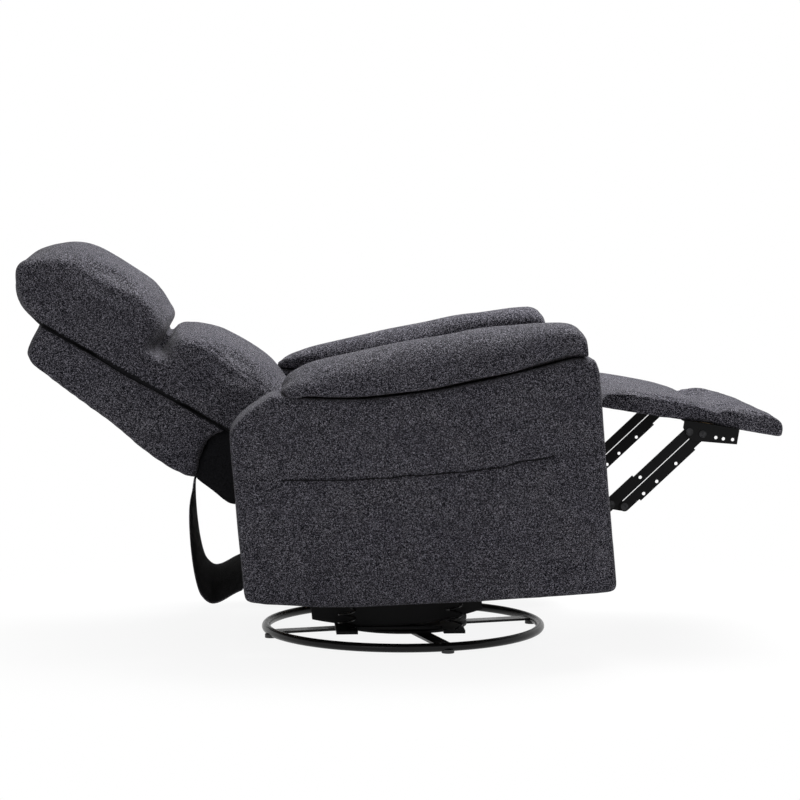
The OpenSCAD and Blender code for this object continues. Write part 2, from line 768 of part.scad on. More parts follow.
head_low = 304;
head_high = 648;
head_crown = 5;
head_up = [0.8, 0.6];
head_shares = [[0, 0.05], [0.08, 0.015], [0.35, 0.012], [0.60, 0.022], [0.70, 0.055], [0.78, 0.115],
    [0.85, 0.20], [0.905, 0.31], [0.935, 0.43], [0.945, 0.55], [0.93, 0.66], [0.88, 0.755], [0.80, 0.825],
    [0.71, 0.875], [0.60, 0.93], [0.48, 0.975], [0.37, 0.985], [0.24, 0.955], [0.12, 0.90], [0.03, 0.83],
    [0, 0.70], [0, 0.35]];
module headrest_pillow() {
    back_form([for (p = head_shares) [
        seam_x + soft_gap + p.x * head_d, head_low + p.y * (head_high - head_low)]],
        2, head_crown, head_up);
}

lining_low = 6;
lining_deep = 98;
lining_in = 2;
lining_shares = [[0, 0], [0, 1], [0.92, 1], [1, 0.72], [1, 0.15], [0.90, 0]];
module back_lining() {
    tall = shell_low - soft_gap - lining_low;
    half = back_post_y - lining_in;
    color(black_cloth_col) reclined() side_plate(1, -half, 2 * half)
        polygon([for (p = lining_shares) [
            board_back - soft_gap - p.x * (lining_deep + board_back), lining_low + p.y * tall]]);
}

// Seat

seat_rail_rear = 165;
seat_rail_front = 300;
rail_z = seat_z - seat_rail_h;
carrier_front_top = [carrier_front_x + carrier_dx, carrier_low_z + carrier_dz];
carrier_rear_top = [carrier_rear_x + carrier_dx, carrier_low_z + carrier_dz];
ear_w = 34;
module seat_plate(side) {
    ears = [carrier_front_top, carrier_rear_top, idler_pivot, swing_pivot];
    color(metal_col) leaned() side_plate(side, seat_plate_y, steel_t) difference() {
        union() {
            translate([-seat_rail_rear + steel_t, rail_z + steel_t])
                square([seat_rail_rear + swing_x + ear_w / 2, seat_rail_h - 2 * steel_t]);
            for (p = ears) bar2d(p, [p.x, seat_z - seat_rail_h / 2], ear_w);
            bar2d(idler_pivot, swing_pivot, ear_w);
        }
        for (p = [carrier_front_top, carrier_rear_top]) translate(p) circle(d = carrier_pin_d);
        for (p = [idler_pivot, swing_pivot]) translate(p) circle(d = rivet_d);
    }
}

module seat_plate_right() {
    seat_plate(-1);
}

module seat_plate_left() {
    seat_plate(1);
}

module seat_side_rails() {
    color(wood_col) leaned() for (side = [-1, 1])
        translate([-seat_rail_rear, side > 0 ? seat_plate_y - seat_rail_t : -seat_plate_y, rail_z])
        cube([seat_rail_rear + seat_rail_front, seat_rail_t, seat_rail_h]);
}

module seat_cross_rails() {
    half = seat_plate_y - seat_rail_t;
    color(wood_col) leaned() for (x = [-seat_rail_rear, seat_rail_front - seat_rail_t])
        translate([x, -half, rail_z]) cube([seat_rail_t, 2 * half, seat_rail_h]);
}

spring_count = 4;
spring_waves = 9;
spring_wave_w = 44;
spring_sag = 8;
wave_steps = 8;
seat_wire_d = 4;
wave_build = 3;
wire_end_gap = 0.9;

module seat_springs() {
    x0 = -seat_rail_rear + seat_rail_t + wire_end_gap;
    run = seat_rail_front + seat_rail_rear - 2 * (seat_rail_t + wire_end_gap);
    steps = spring_waves * wave_steps;
    z = seat_z - seat_wire_d / 2 - cut;
    color(steel_col) leaned() for (i = [0 : spring_count - 1])
        translate([x0, (i - (spring_count - 1) / 2) * 2 * (seat_plate_y - seat_rail_t) / spring_count, z])
        tube([for (k = [0 : steps])
            let (s = k / steps)
            [s * run, spring_wave_w / 2 * sin(s * 360 * spring_waves) * min(1, wave_build * sin(s * 180)),
                -spring_sag * sin(s * 180)]],
            seat_wire_d, 5, [0, 0, 1]);
}

seat_shares = [[0.01, 0.0], [0.35, 0], [0.75, 0], [0.97, 0.01], [1, 0.14], [1, 0.50], [0.985, 0.78],
    [0.93, 0.92], [0.80, 0.945], [0.60, 0.91], [0.40, 0.85], [0.24, 0.76], [0.145, 0.67], [0.085, 0.55],
    [0.05, 0.33], [0.02, 0.12]];
seat_cushion_w = 580;
module seat_cushion() {
    long = seat_front + seat_rear;
    outline = [for (p = seat_shares) [-seat_rear + p.x * long, seat_z + soft_gap + p.y * seat_h]];
    firm = [for (p = smooth_loop(outline, 3)) [p.x, max(p.y, seat_z + soft_gap)]];
    color(fabric_col) leaned() side_cushion(firm, seat_cushion_w / 2, cushion_pull, cushion_crown, [0, 1]);
}

module seat_rivets() {
    color(steel_col) leaned() both_sides() {
        for (p = [swing_pivot, idler_pivot]) {
            head_y = swing_layer + steel_t + head_gap;
            side_pin($side, p, seat_plate_y, head_y, rivet_d);
            side_pin($side, p, head_y, head_y + rivet_head_h, rivet_head_d);
        }
        for (p = [carrier_front_top, carrier_rear_top]) {
            side_pin($side, p, seat_plate_y, carrier_y + steel_t, carrier_pin_d);
            side_pin($side, p, seat_plate_y + steel_t, carrier_y - head_gap, spacer_d);
        }
    }
}

crumb_len = 104;
crumb_t = 2;
crumb_sag = 16;
crumb_shares = [[0, 0.25], [-0.33, -0.7], [-0.67, -1], [-1, -0.6]];
module crumb_cloth() {
    line = smooth_line([for (p = crumb_shares) [
        -seat_rail_rear - soft_gap + p.x * crumb_len, rail_z + p.y * crumb_sag]], 4);
    half = seat_plate_y - seat_rail_t;
    color(black_cloth_col) leaned() side_plate(1, -half, 2 * half) polygon(concat(line,
        [for (i = [len(line) - 1 : -1 : 0]) line[i] + [0, crumb_t]]));
}

// Carriers, which swing the seat forward as the back goes down
module carriers(low, high) {
    both_sides() {
        side_plate($side, carrier_y, steel_t) difference() {
            bar2d(low, high, carrier_w);
            translate(low) circle(r = carrier_pin_d / 2 + play);
            translate(high) circle(r = carrier_pin_d / 2 + play);
        }
    }
}

carrier_tube_d = 16;
module front_carriers() {
    low = [carrier_front_x, carrier_low_z];
    mid = (low + carrier_front_top) / 2;
    color(metal_col) leaned() {
        carriers(low, carrier_front_top);
        side_pin(1, mid, -carrier_y - steel_t / 2, carrier_y + steel_t / 2, carrier_tube_d);
    }
}

module rear_carriers() {
    low = [carrier_rear_x, carrier_low_z];
    mid = (low + carrier_rear_top) / 2;
    color(metal_col) leaned() {
        carriers(low, carrier_rear_top);
        side_pin(1, mid, -carrier_y - steel_t / 2, carrier_y + steel_t / 2, carrier_tube_d);
    }
}

// Footrest linkage

module swing_link(side) {
    color(metal_col) leaned() side_plate(side, swing_layer, steel_t) difference() {
        union() {
            bar2d(swing_pivot, cross_pivot, swing_w);
            bar2d(cross_pivot, knee_pivot, knee_w);
        }
        for (p = [swing_pivot, cross_pivot, knee_pivot]) translate(p) circle(r = rivet_d / 2 + play);
    }
}

module swing_link_right() {
    swing_link(-1);
}

module swing_link_left() {
    swing_link(1);
}

swing_tube_share = 0.45;
swing_tube_d = 20;
module swing_tube() {
    p = swing_pivot + swing_tube_share * (cross_pivot - swing_pivot);
    color(metal_col) leaned() side_pin(1, p, -swing_layer, swing_layer, swing_tube_d);
}

module crossing_rivets(points, y) {
    both_sides() {
        for (p = points) {
            side_pin($side, p, y - head_gap, y + 2 * steel_t + layer_gap + head_gap, rivet_d);
            side_pin($side, p, y - head_gap - rivet_head_h, y - head_gap, rivet_head_d);
            side_pin($side, p, y + 2 * steel_t + layer_gap + head_gap,
                y + 2 * steel_t + layer_gap + head_gap + rivet_head_h, rivet_head_d);
        }
    }
}

module swing_rivets() {
    color(steel_col) leaned() crossing_rivets([cross_pivot, knee_pivot], swing_layer);
}

module idler_links() {
    color(metal_col) leaned() both_sides() {
        side_plate($side, swing_layer, steel_t) difference() {
            bar2d(idler_pivot, tail_pivot, swing_w);
            for (p = [idler_pivot, tail_pivot]) translate(p) circle(r = rivet_d / 2 + play);
        }
    }
}

upper_hole_share = 0.373;
upper_hole_d = 7;
upper_wide_shares = [0.02, 0.33];
module upper_link(side) {
    run = near_pivot - cross_pivot;
    wide_len = long_link * (upper_wide_shares[1] - upper_wide_shares[0]);
    color(metal_col) leaned() side_plate(side, long_layer, steel_t) difference() {
        union() {
            bar2d(tail_pivot, near_pivot, long_link_w);
            translate(cross_pivot + upper_wide_shares[0] * run) rotate(long_link_deg)
                square([wide_len, long_link_w / 2 + link_step]);
        }
        for (p = [tail_pivot, cross_pivot, near_pivot]) translate(p) circle(r = rivet_d / 2 + play);
        translate(cross_pivot + upper_hole_share * run) circle(d = upper_hole_d);
    }
}

module upper_link_right() {
    upper_link(-1);
}

module upper_link_left() {
    upper_link(1);
}

module upper_link_rivets() {
    color(steel_col) leaned() crossing_rivets([tail_pivot], swing_layer);
}

lower_wide_shares = [0.15, 0.85];
lower_hole_shares = [[0.215, -0.375], [0.383, -0.375], [0.629, -0.375]];
module lower_link(side) {
    across = [-long_dir.y, long_dir.x];
    run = far_pivot - knee_pivot;
    wide_len = long_link * (lower_wide_shares[1] - lower_wide_shares[0]);
    wide_w = long_link_w / 2 + link_step;
    color(metal_col) leaned() side_plate(side, long_layer, steel_t) difference() {
        union() {
            bar2d(knee_pivot, far_pivot, long_link_w);
            translate(knee_pivot + run * lower_wide_shares[0]) rotate(long_link_deg) translate([0, -wide_w])
                square([wide_len, wide_w]);
        }
        for (p = [knee_pivot, far_pivot]) translate(p) circle(r = rivet_d / 2 + play);
        for (s = lower_hole_shares) translate(knee_pivot + s.x * run + s.y * long_link_w * across)
            circle(d = upper_hole_d);
    }
}

module lower_link_right() {
    lower_link(-1);
}

module lower_link_left() {
    lower_link(1);
}

// Footrest: drawn with +X to the far end and +Z up from the underside, then set at its slope
module on_foot() {
    leaned() translate([foot_x, 0, foot_z]) rotate([0, foot_slope, 0]) children();
}

foot_board_t = 14;
foot_board_in = 8;
foot_board_out = 22;
foot_board_w = 530;
module footrest_board() {
    color(wood_col) on_foot() translate([foot_board_in, -foot_board_w / 2, 0])
        cube([foot_len - foot_board_in - foot_board_out, foot_board_w, foot_board_t]);
}

foot_bracket_near = 176;
foot_bracket_far = 290;
foot_bracket_h = 38;
foot_bracket_shares = [[0, 0], [0, -0.40], [0.12, -0.92], [0.25, -1], [0.45, -0.95], [0.75, -0.88],
    [1, -0.82], [1, 0]];
foot_hole_shares = [[0.608, -0.64], [0.744, -0.64], [0.91, -0.60]];
foot_flange_w = 40;
foot_flange_t = 2.5;
module footrest_bracket(side) {
    run = foot_bracket_far - foot_bracket_near;
    flange_y = bracket_layer + steel_t - foot_flange_w;
    color(metal_col) on_foot() {
        side_plate(side, bracket_layer, steel_t) difference() {
            polygon([for (p = foot_bracket_shares) [foot_bracket_near + p.x * run, p.y * foot_bracket_h]]);
            for (x = [pivot_in, pivot_in + pivot_gap]) translate([x, -pivot_drop])
                circle(r = rivet_d / 2 + play);
            for (p = foot_hole_shares) translate([foot_bracket_near + p.x * run, p.y * foot_bracket_h])
                circle(d = upper_hole_d);
        }
        side_plate(side, flange_y, foot_flange_w) translate([foot_bracket_near, -foot_flange_t])
            square([run, foot_flange_t]);
    }
}

module footrest_bracket_right() {
    footrest_bracket(-1);
}

module footrest_bracket_left() {
    footrest_bracket(1);
}

module footrest_rivets() {
    color(steel_col) leaned() crossing_rivets([near_pivot, far_pivot], long_layer);
}

foot_shares = [[0.01, 0], [0.30, 0], [0.90, 0], [0.985, 0.02], [1, 0.20], [0.985, 0.70], [0.955, 0.86],
    [0.90, 0.95], [0.77, 1], [0.735, 0.98], [0.69, 0.88], [0.64, 0.72], [0.60, 0.70], [0.555, 0.80],
    [0.49, 0.93], [0.40, 0.99], [0.18, 0.99], [0.08, 0.93], [0.02, 0.75], [0, 0.45]];
foot_crown = 9;
foot_pull = 7;
module footrest_pad() {
    base = foot_board_t + soft_gap;
    outline = [for (p = foot_shares) [p.x * foot_len, base + p.y * (foot_h - base)]];
    firm = [for (p = smooth_loop(outline, 2)) [p.x, max(p.y, base)]];
    color(fabric_col) on_foot() side_cushion(firm, foot_w / 2, foot_pull, foot_crown, [0, 1],
        tall = (foot_h - base) / 2);
}

base_ring();
base_spokes();
ring_glides();
swivel_lower_plate();
swivel_pin();
swivel_bearing();
swivel_upper_plate();
rocker_base();
rocker_springs();
rocker_cam_right();
rocker_cam_left();
front_cross_rail();
rear_cross_rail();
rear_rail();
side_panel_right();
side_panel_left();
arm_frame_right();
arm_frame_left();
arm_pad_right();
arm_pad_left();
base_plate_right();
base_plate_left();
hinge_pins();
rear_flap();
release_bezel();
release_lever();
release_cable();
back_frame();
back_brackets();
outer_back_shell();
lumbar_cushion();
headrest_pillow();
back_lining();
seat_plate_right();
seat_plate_left();
seat_side_rails();
seat_cross_rails();
seat_springs();
seat_cushion();
seat_rivets();
crumb_cloth();
front_carriers();
rear_carriers();
swing_link_right();
swing_link_left();
swing_tube();
swing_rivets();
idler_links();
upper_link_right();
upper_link_left();
upper_link_rivets();
lower_link_right();
lower_link_left();
footrest_board();
footrest_bracket_right();
footrest_bracket_left();
footrest_rivets();
footrest_pad();
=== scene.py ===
import json
import math

import bmesh
import bpy
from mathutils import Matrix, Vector, kdtree, noise


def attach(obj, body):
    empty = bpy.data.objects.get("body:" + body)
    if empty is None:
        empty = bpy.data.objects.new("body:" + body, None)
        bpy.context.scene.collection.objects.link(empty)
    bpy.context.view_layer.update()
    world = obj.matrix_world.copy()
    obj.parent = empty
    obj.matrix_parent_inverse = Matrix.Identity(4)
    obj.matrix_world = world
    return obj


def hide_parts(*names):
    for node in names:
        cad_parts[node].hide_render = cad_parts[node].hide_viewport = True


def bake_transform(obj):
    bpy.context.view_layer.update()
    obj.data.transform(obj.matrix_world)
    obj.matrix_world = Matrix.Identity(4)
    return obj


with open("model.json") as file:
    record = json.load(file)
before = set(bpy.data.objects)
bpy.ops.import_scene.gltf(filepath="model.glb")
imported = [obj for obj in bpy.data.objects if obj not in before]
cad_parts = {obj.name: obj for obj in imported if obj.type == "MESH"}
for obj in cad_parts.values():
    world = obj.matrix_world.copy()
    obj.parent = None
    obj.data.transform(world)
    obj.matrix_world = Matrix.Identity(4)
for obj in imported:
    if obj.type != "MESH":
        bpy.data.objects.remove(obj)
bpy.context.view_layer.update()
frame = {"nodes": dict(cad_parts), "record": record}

# The chair's own frame is level, in millimetres; these place its points in the row frame, in metres
LEAN, RECLINE, SLOPE = math.radians(5), math.radians(55), math.radians(14.5)
ROCK_X, ROCK_Z, LIFT = -56.0, 710.0, 9.0
HINGE = (-315.0, 396.0)
FOOT = (359.0, 454.0)


def turned(x, z, angle):
    c, s = math.cos(angle), math.sin(angle)
    return x * c - z * s, x * s + z * c


def chair(x, y, z):
    dx, dz = turned(x - ROCK_X, z - ROCK_Z, LEAN)
    return Vector(((ROCK_X + dx) / 1000, y / 1000, (ROCK_Z + LIFT + dz) / 1000))


def on_back(x, y, z):
    dx, dz = turned(x, z, RECLINE)
    return chair(HINGE[0] + dx, y, HINGE[1] + dz)


def on_foot(x, y, z):
    dx, dz = turned(x, z, -SLOPE)
    return chair(FOOT[0] + dx, y, FOOT[1] + dz)


# Camera
cam_data = bpy.data.cameras.new("camera")
cam_data.lens = 121.5
cam_data.sensor_width = 36
cam_data.clip_end = 100
camera = bpy.data.objects.new("camera", cam_data)
camera.location = (-0.320, -5.680, 0.955)
camera.rotation_euler = (math.radians(90 - 4.658), 0, math.radians(-3.159))
bpy.context.collection.objects.link(camera)
bpy.context.scene.camera = camera


# Materials
def material(name):
    m = bpy.data.materials.new(name)
    m.use_nodes = True
    t = m.node_tree
    bsdf = t.nodes["Principled BSDF"]
    return m, t, bsdf


def node(t, kind, **values):
    n = t.nodes.new(kind)
    for key, value in values.items():
        if key in n.inputs:
            n.inputs[key].default_value = value
        else:
            setattr(n, key, value)
    return n


def ramp(t, source, stops):
    r = t.nodes.new("ShaderNodeValToRGB")
    e = r.color_ramp.elements
    while len(e) < len(stops):
        e.new(0.5)
    for item, (at, colour) in zip(e, stops):
        item.position = at
        item.color = (*colour, 1)
    t.links.new(source, r.inputs["Fac"])
    return r.outputs["Color"]


def object_coords(t, scale):
    at = t.nodes.new("ShaderNodeTexCoord")
    m = node(t, "ShaderNodeMapping", Scale=scale)
    t.links.new(at.outputs["Object"], m.inputs["Vector"])
    return m.outputs["Vector"]


def mix(t, kind, factor, a, b):
    n = t.nodes.new("ShaderNodeMix")
    n.data_type = "RGBA"
    n.blend_type = kind
    n.inputs["Factor"].default_value = factor
    t.links.new(a, n.inputs[6])
    t.links.new(b, n.inputs[7])
    return n.outputs[2]


def bump(t, height, strength, distance, normal=None):
    b = node(t, "ShaderNodeBump", Strength=strength, Distance=distance)
    t.links.new(height, b.inputs["Height"])
    if normal is not None:
        t.links.new(normal, b.inputs["Normal"])
    return b.outputs["Normal"]


def boucle(name, dark, mid, light):
    m, t, bsdf = material(name)
    at = object_coords(t, (1, 1, 1.15))
    curls = node(t, "ShaderNodeTexVoronoi", Scale=640, Randomness=1)
    yarn = node(t, "ShaderNodeTexNoise", Scale=800, Detail=2, Roughness=0.7)
    heather = node(t, "ShaderNodeTexNoise", Scale=580, Detail=2, Roughness=0.65)
    cloud = node(t, "ShaderNodeTexNoise", Scale=9, Detail=2, Roughness=0.5)
    for n in (curls, yarn, heather, cloud):
        t.links.new(at, n.inputs["Vector"])
    split = t.nodes.new("ShaderNodeSeparateColor")
    t.links.new(curls.outputs["Color"], split.inputs["Color"])
    cells = ramp(t, split.outputs[0], [(0.0, dark), (0.56, dark), (0.69, mid), (0.87, light), (1.0, light)])
    strands = ramp(t, heather.outputs["Fac"], [(0.46, dark), (0.54, mid), (0.61, light)])
    base = mix(t, "MIX", 0.5, cells, strands)
    fine = ramp(t, yarn.outputs["Fac"], [(0.38, (0.25, 0.25, 0.25)), (0.62, (1.75, 1.75, 1.75))])
    base = mix(t, "MULTIPLY", 1.0, base, fine)
    shade = ramp(t, cloud.outputs["Fac"], [(0.3, (0.90, 0.90, 0.92)), (0.7, (1.08, 1.08, 1.06))])
    base = mix(t, "MULTIPLY", 1.0, base, shade)
    t.links.new(base, bsdf.inputs["Base Color"])
    low = bump(t, heather.outputs["Fac"], 0.5, 0.0018)
    t.links.new(bump(t, curls.outputs["Distance"], 0.6, 0.0012, low), bsdf.inputs["Normal"])
    bsdf.inputs["Roughness"].default_value = 0.95
    bsdf.inputs["Specular IOR Level"].default_value = 0.08
    bsdf.inputs["Sheen Weight"].default_value = 0.05
    bsdf.inputs["Sheen Roughness"].default_value = 0.5
    return m


def black_cloth(name):
    m, t, bsdf = material(name)
    at = object_coords(t, (1, 1, 1))
    warp = node(t, "ShaderNodeTexWave", Scale=260, Distortion=0.6, Detail=1)
    warp.bands_direction = "Y"
    fuzz = node(t, "ShaderNodeTexNoise", Scale=420, Detail=2)
    for n in (warp, fuzz):
        t.links.new(at, n.inputs["Vector"])
    tone = ramp(t, fuzz.outputs["Fac"], [(0.3, (0.002, 0.002, 0.0025)), (0.7, (0.012, 0.012, 0.014))])
    t.links.new(tone, bsdf.inputs["Base Color"])
    first = bump(t, warp.outputs["Fac"], 0.3, 0.0006)
    t.links.new(bump(t, fuzz.outputs["Fac"], 0.3, 0.0006, first), bsdf.inputs["Normal"])
    bsdf.inputs["Roughness"].default_value = 0.95
    bsdf.inputs["Specular IOR Level"].default_value = 0.1
    return m


def painted(name, tone, roughness, coat):
    m, t, bsdf = material(name)
    at = object_coords(t, (1, 1, 1))
    peel = node(t, "ShaderNodeTexNoise", Scale=520, Detail=2)
    dust = node(t, "ShaderNodeTexNoise", Scale=26, Detail=5, Roughness=0.65)
    for n in (peel, dust):
        t.links.new(at, n.inputs["Vector"])
    worn = [(0.35, tone), (0.75, tuple(1.9 * c + 0.002 for c in tone))]
    t.links.new(ramp(t, dust.outputs["Fac"], worn), bsdf.inputs["Base Color"])
    spread = node(t, "ShaderNodeMapRange")
    spread.inputs["From Min"].default_value = 0.3
    spread.inputs["From Max"].default_value = 0.7
    spread.inputs["To Min"].default_value = roughness - 0.06
    spread.inputs["To Max"].default_value = roughness + 0.08
    t.links.new(dust.outputs["Fac"], spread.inputs["Value"])
    t.links.new(spread.outputs["Result"], bsdf.inputs["Roughness"])
    t.links.new(bump(t, peel.outputs["Fac"], 0.12, 0.0004), bsdf.inputs["Normal"])
    bsdf.inputs["Specular IOR Level"].default_value = 0.10
    bsdf.inputs["Coat Weight"].default_value = coat
    bsdf.inputs["Coat Roughness"].default_value = 0.25
    return m


def zinc(name):
    m, t, bsdf = material(name)
    at = object_coords(t, (1, 1, 1))
    spangle = node(t, "ShaderNodeTexVoronoi", Scale=180)
    grain = node(t, "ShaderNodeTexNoise", Scale=600, Detail=3)
    for n in (spangle, grain):
        t.links.new(at, n.inputs["Vector"])
    split = t.nodes.new("ShaderNodeSeparateColor")
    t.links.new(spangle.outputs["Color"], split.inputs["Color"])
    tone = ramp(t, split.outputs[0], [(0, (0.018, 0.018, 0.019)), (1, (0.04, 0.04, 0.042))])
    t.links.new(tone, bsdf.inputs["Base Color"])
    t.links.new(bump(t, grain.outputs["Fac"], 0.15, 0.0003), bsdf.inputs["Normal"])
    bsdf.inputs["Metallic"].default_value = 1.0
    bsdf.inputs["Roughness"].default_value = 0.38
    return m


def plywood(name):
    m, t, bsdf = material(name)
    at = object_coords(t, (3, 40, 40))
    grain = node(t, "ShaderNodeTexNoise", Scale=4, Detail=8, Roughness=0.65, Distortion=0.8)
    pores = node(t, "ShaderNodeTexNoise", Scale=60, Detail=2)
    for n in (grain, pores):
        t.links.new(at, n.inputs["Vector"])
    wood = [(0.3, (0.34, 0.21, 0.11)), (0.55, (0.52, 0.36, 0.20)), (0.75, (0.62, 0.46, 0.28))]
    base = ramp(t, grain.outputs["Fac"], wood)
    spots = ramp(t, pores.outputs["Fac"], [(0.3, (0.75, 0.72, 0.7)), (0.5, (1, 1, 1))])
    t.links.new(mix(t, "MULTIPLY", 0.7, base, spots), bsdf.inputs["Base Color"])
    t.links.new(bump(t, grain.outputs["Fac"], 0.2, 0.0006), bsdf.inputs["Normal"])
    bsdf.inputs["Roughness"].default_value = 0.72
    return m


def moulded(name):
    m, t, bsdf = material(name)
    at = object_coords(t, (1, 1, 1))
    pits = node(t, "ShaderNodeTexNoise", Scale=700, Detail=2)
    scuffs = node(t, "ShaderNodeTexNoise", Scale=40, Detail=4)
    for n in (pits, scuffs):
        t.links.new(at, n.inputs["Vector"])
    worn = ramp(t, scuffs.outputs["Fac"], [(0.35, (0.010, 0.010, 0.011)), (0.75, (0.026, 0.026, 0.028))])
    t.links.new(worn, bsdf.inputs["Base Color"])
    t.links.new(bump(t, pits.outputs["Fac"], 0.25, 0.0003), bsdf.inputs["Normal"])
    bsdf.inputs["Roughness"].default_value = 0.5
    return m


CHARCOAL = (0.003, 0.003, 0.0033)
FABRIC = boucle("boucle", (0.001, 0.001, 0.0025), (0.016, 0.016, 0.024), (0.27, 0.26, 0.30))
BLACK = black_cloth("black_cloth")
PAINT = painted("black_paint", CHARCOAL, 0.5, 0.0)
TUBE = painted("black_tube_paint", CHARCOAL, 0.3, 0.2)
ZINC = zinc("zinc_plate")
WOOD = plywood("plywood")
PLASTIC = moulded("moulded_plastic")
LOOKS = {"fabric": FABRIC, "black_metal": PAINT, "plain_steel": ZINC, "wood": WOOD,
         "black_cloth": BLACK, "black_plastic": PLASTIC}
slot_of = {s["node"]: s["material_slot"] for s in frame["record"]["subparts"]}
GLOSSY = ("base_ring", "base_spokes", "swing_tube", "rocker_springs")
for name, obj in frame["nodes"].items():
    look = TUBE if name in GLOSSY else LOOKS[slot_of[name]]
    obj.data.materials.clear()
    obj.data.materials.append(look)


# Mesh helpers
def make(name, verts, faces, look, smooth=True):
    mesh = bpy.data.meshes.new(name)
    mesh.from_pydata([tuple(v) for v in verts], [], faces)
    mesh.materials.append(look)
    obj = bpy.data.objects.new(name, mesh)
    bpy.context.collection.objects.link(obj)
    if smooth:
        mesh.shade_smooth()
    return obj


def use(obj):
    for o in bpy.context.selected_objects:
        o.select_set(False)
    bpy.context.view_layer.objects.active = obj
    obj.select_set(True)


def apply_modifiers(obj):
    use(obj)
    for m in list(obj.modifiers):
        bpy.ops.object.modifier_apply(modifier=m.name)


def remesh(obj, size):
    m = obj.modifiers.new("remesh", "REMESH")
    m.mode = "VOXEL"
    m.voxel_size = size
    apply_modifiers(obj)


def relax(obj, factor, times):
    m = obj.modifiers.new("smooth", "SMOOTH")
    m.factor = factor
    m.iterations = times
    apply_modifiers(obj)


def subdivide(obj):
    m = obj.modifiers.new("subdivide", "SUBSURF")
    m.levels = m.render_levels = 1
    apply_modifiers(obj)
    obj.data.shade_smooth()


def finish_mesh(obj, look):
    obj.data.materials.clear()
    obj.data.materials.append(look)
    obj.data.shade_smooth()


def spline(points, steps, closed=True):
    """Points along a smooth curve through all of points, steps to a span."""
    out = []
    n = len(points)
    last = n if closed else n - 1
    for i in range(last):
        around = [i + k for k in (-1, 0, 1, 2)]
        a, b, c, d = (points[k % n] if closed else points[min(max(k, 0), n - 1)] for k in around)
        for j in range(steps):
            t = j / steps
            out.append(tuple(
                (2 * q + (r - p) * t + (2 * p - 5 * q + 4 * r - s) * t * t
                 + (3 * q - p - 3 * r + s) * t ** 3) / 2
                for p, q, r, s in zip(a, b, c, d)))
    if not closed:
        out.append(tuple(points[-1]))
    return out


def inset(outline, depth):
    """The outline moved inwards by depth, along its own normals; the outline runs anticlockwise."""
    n = len(outline)
    out = []
    for i, p in enumerate(outline):
        a, b = outline[i - 1], outline[(i + 1) % n]
        dx, dz = b[0] - a[0], b[1] - a[1]
        size = math.hypot(dx, dz) or 1
        out.append((p[0] - depth * dz / size, p[1] + depth * dx / size))
    return out


def anticlockwise(outline):
    area = sum(a[0] * b[1] - b[0] * a[1] for a, b in zip(outline, outline[1:] + outline[:1]))
    return outline if area > 0 else outline[::-1]


def clamp(value):
    return min(1.0, max(0.0, value))


def loft(name, outline, half, place, round_in, round_y, look, crown=None, middle=0.0):
    """A closed form across the chair with a side outline, and edges rounded by round_in over round_y."""
    outline = anticlockwise(outline)
    turns, inner = 7, 9
    angles = [k / turns * math.pi / 2 for k in range(turns + 1)]
    left = [(-half + round_y * (1 - math.cos(a)), round_in * (1 - math.sin(a))) for a in angles]
    flat = [(-half + round_y + (2 * half - 2 * round_y) * k / inner, 0.0) for k in range(1, inner)]
    right = [(-y, r) for y, r in left[::-1]]
    stations = left + flat + right
    verts, faces = [], []
    n = len(outline)
    for y, r in stations:
        ring = inset(outline, r) if r > 0.001 else outline
        share = y / half
        for p in ring:
            q = crown(p, share) if crown else p
            verts.append(place(q[0], middle + y, q[1]))
    for k in range(len(stations) - 1):
        for i in range(n):
            j = (i + 1) % n
            faces.append((k * n + i, k * n + j, (k + 1) * n + j, (k + 1) * n + i))
    faces.append(tuple(range(n))[::-1])
    faces.append(tuple((len(stations) - 1) * n + i for i in range(n)))
    return make(name, verts, faces, look)


def centre_of(outline):
    return (sum(p[0] for p in outline) / len(outline), sum(p[1] for p in outline) / len(outline))


# Where form() puts its rows, as shares of the half width, closer together towards the ends
FORM_ROWS = (0.24, 0.48, 0.62, 0.72, 0.80, 0.86, 0.91, 0.94, 0.965, 0.985, 1)


def form(name, outline, half, place, pull, power=6, hold=0.0, rise=0.0, up=(0, 1), tall=0.0):
    """A closed form across the chair, crowned by rise in the middle and drawn in by pull at the ends."""
    outline = anticlockwise(outline)
    cx, cz = centre_of(outline)
    rows = [-s for s in reversed(FORM_ROWS)] + [0] + list(FORM_ROWS)
    verts, faces, n = [], [], len(outline)
    for s in rows:
        sink = pull * (1 - math.sqrt(max(0.0, 1 - abs(s) ** power)))
        for x, z in outline:
            dx, dz = x - cx, z - cz
            reach = math.hypot(dx, dz)
            lift = clamp((dx * up[0] + dz * up[1]) / (tall or reach))
            k = 1 - (1 - hold * max(0.0, -dx / reach) ** 2) * sink / max(reach, 2 * pull)
            crown = rise * (1 - s * s) * lift * lift
            verts.append(place(cx + dx * k + crown * up[0], s * half, cz + dz * k + crown * up[1]))
    for r in range(len(rows) - 1):
        for i in range(n):
            j = (i + 1) % n
            faces.append((r * n + i, r * n + j, (r + 1) * n + j, (r + 1) * n + i))
    faces.append(tuple(range(n))[::-1])
    faces.append(tuple((len(rows) - 1) * n + i for i in range(n)))
    return make(name, verts, faces, FABRIC)


def joined(first, *others):
    use(first)
    for o in others:
        o.select_set(True)
    bpy.ops.object.join()
    return first


def snapped(obj, points):
    """The points moved onto the surface of obj."""
    bpy.context.view_layer.update()
    return [obj.closest_point_on_mesh(p)[1] for p in points]


CLOTH_FRAMES = 20


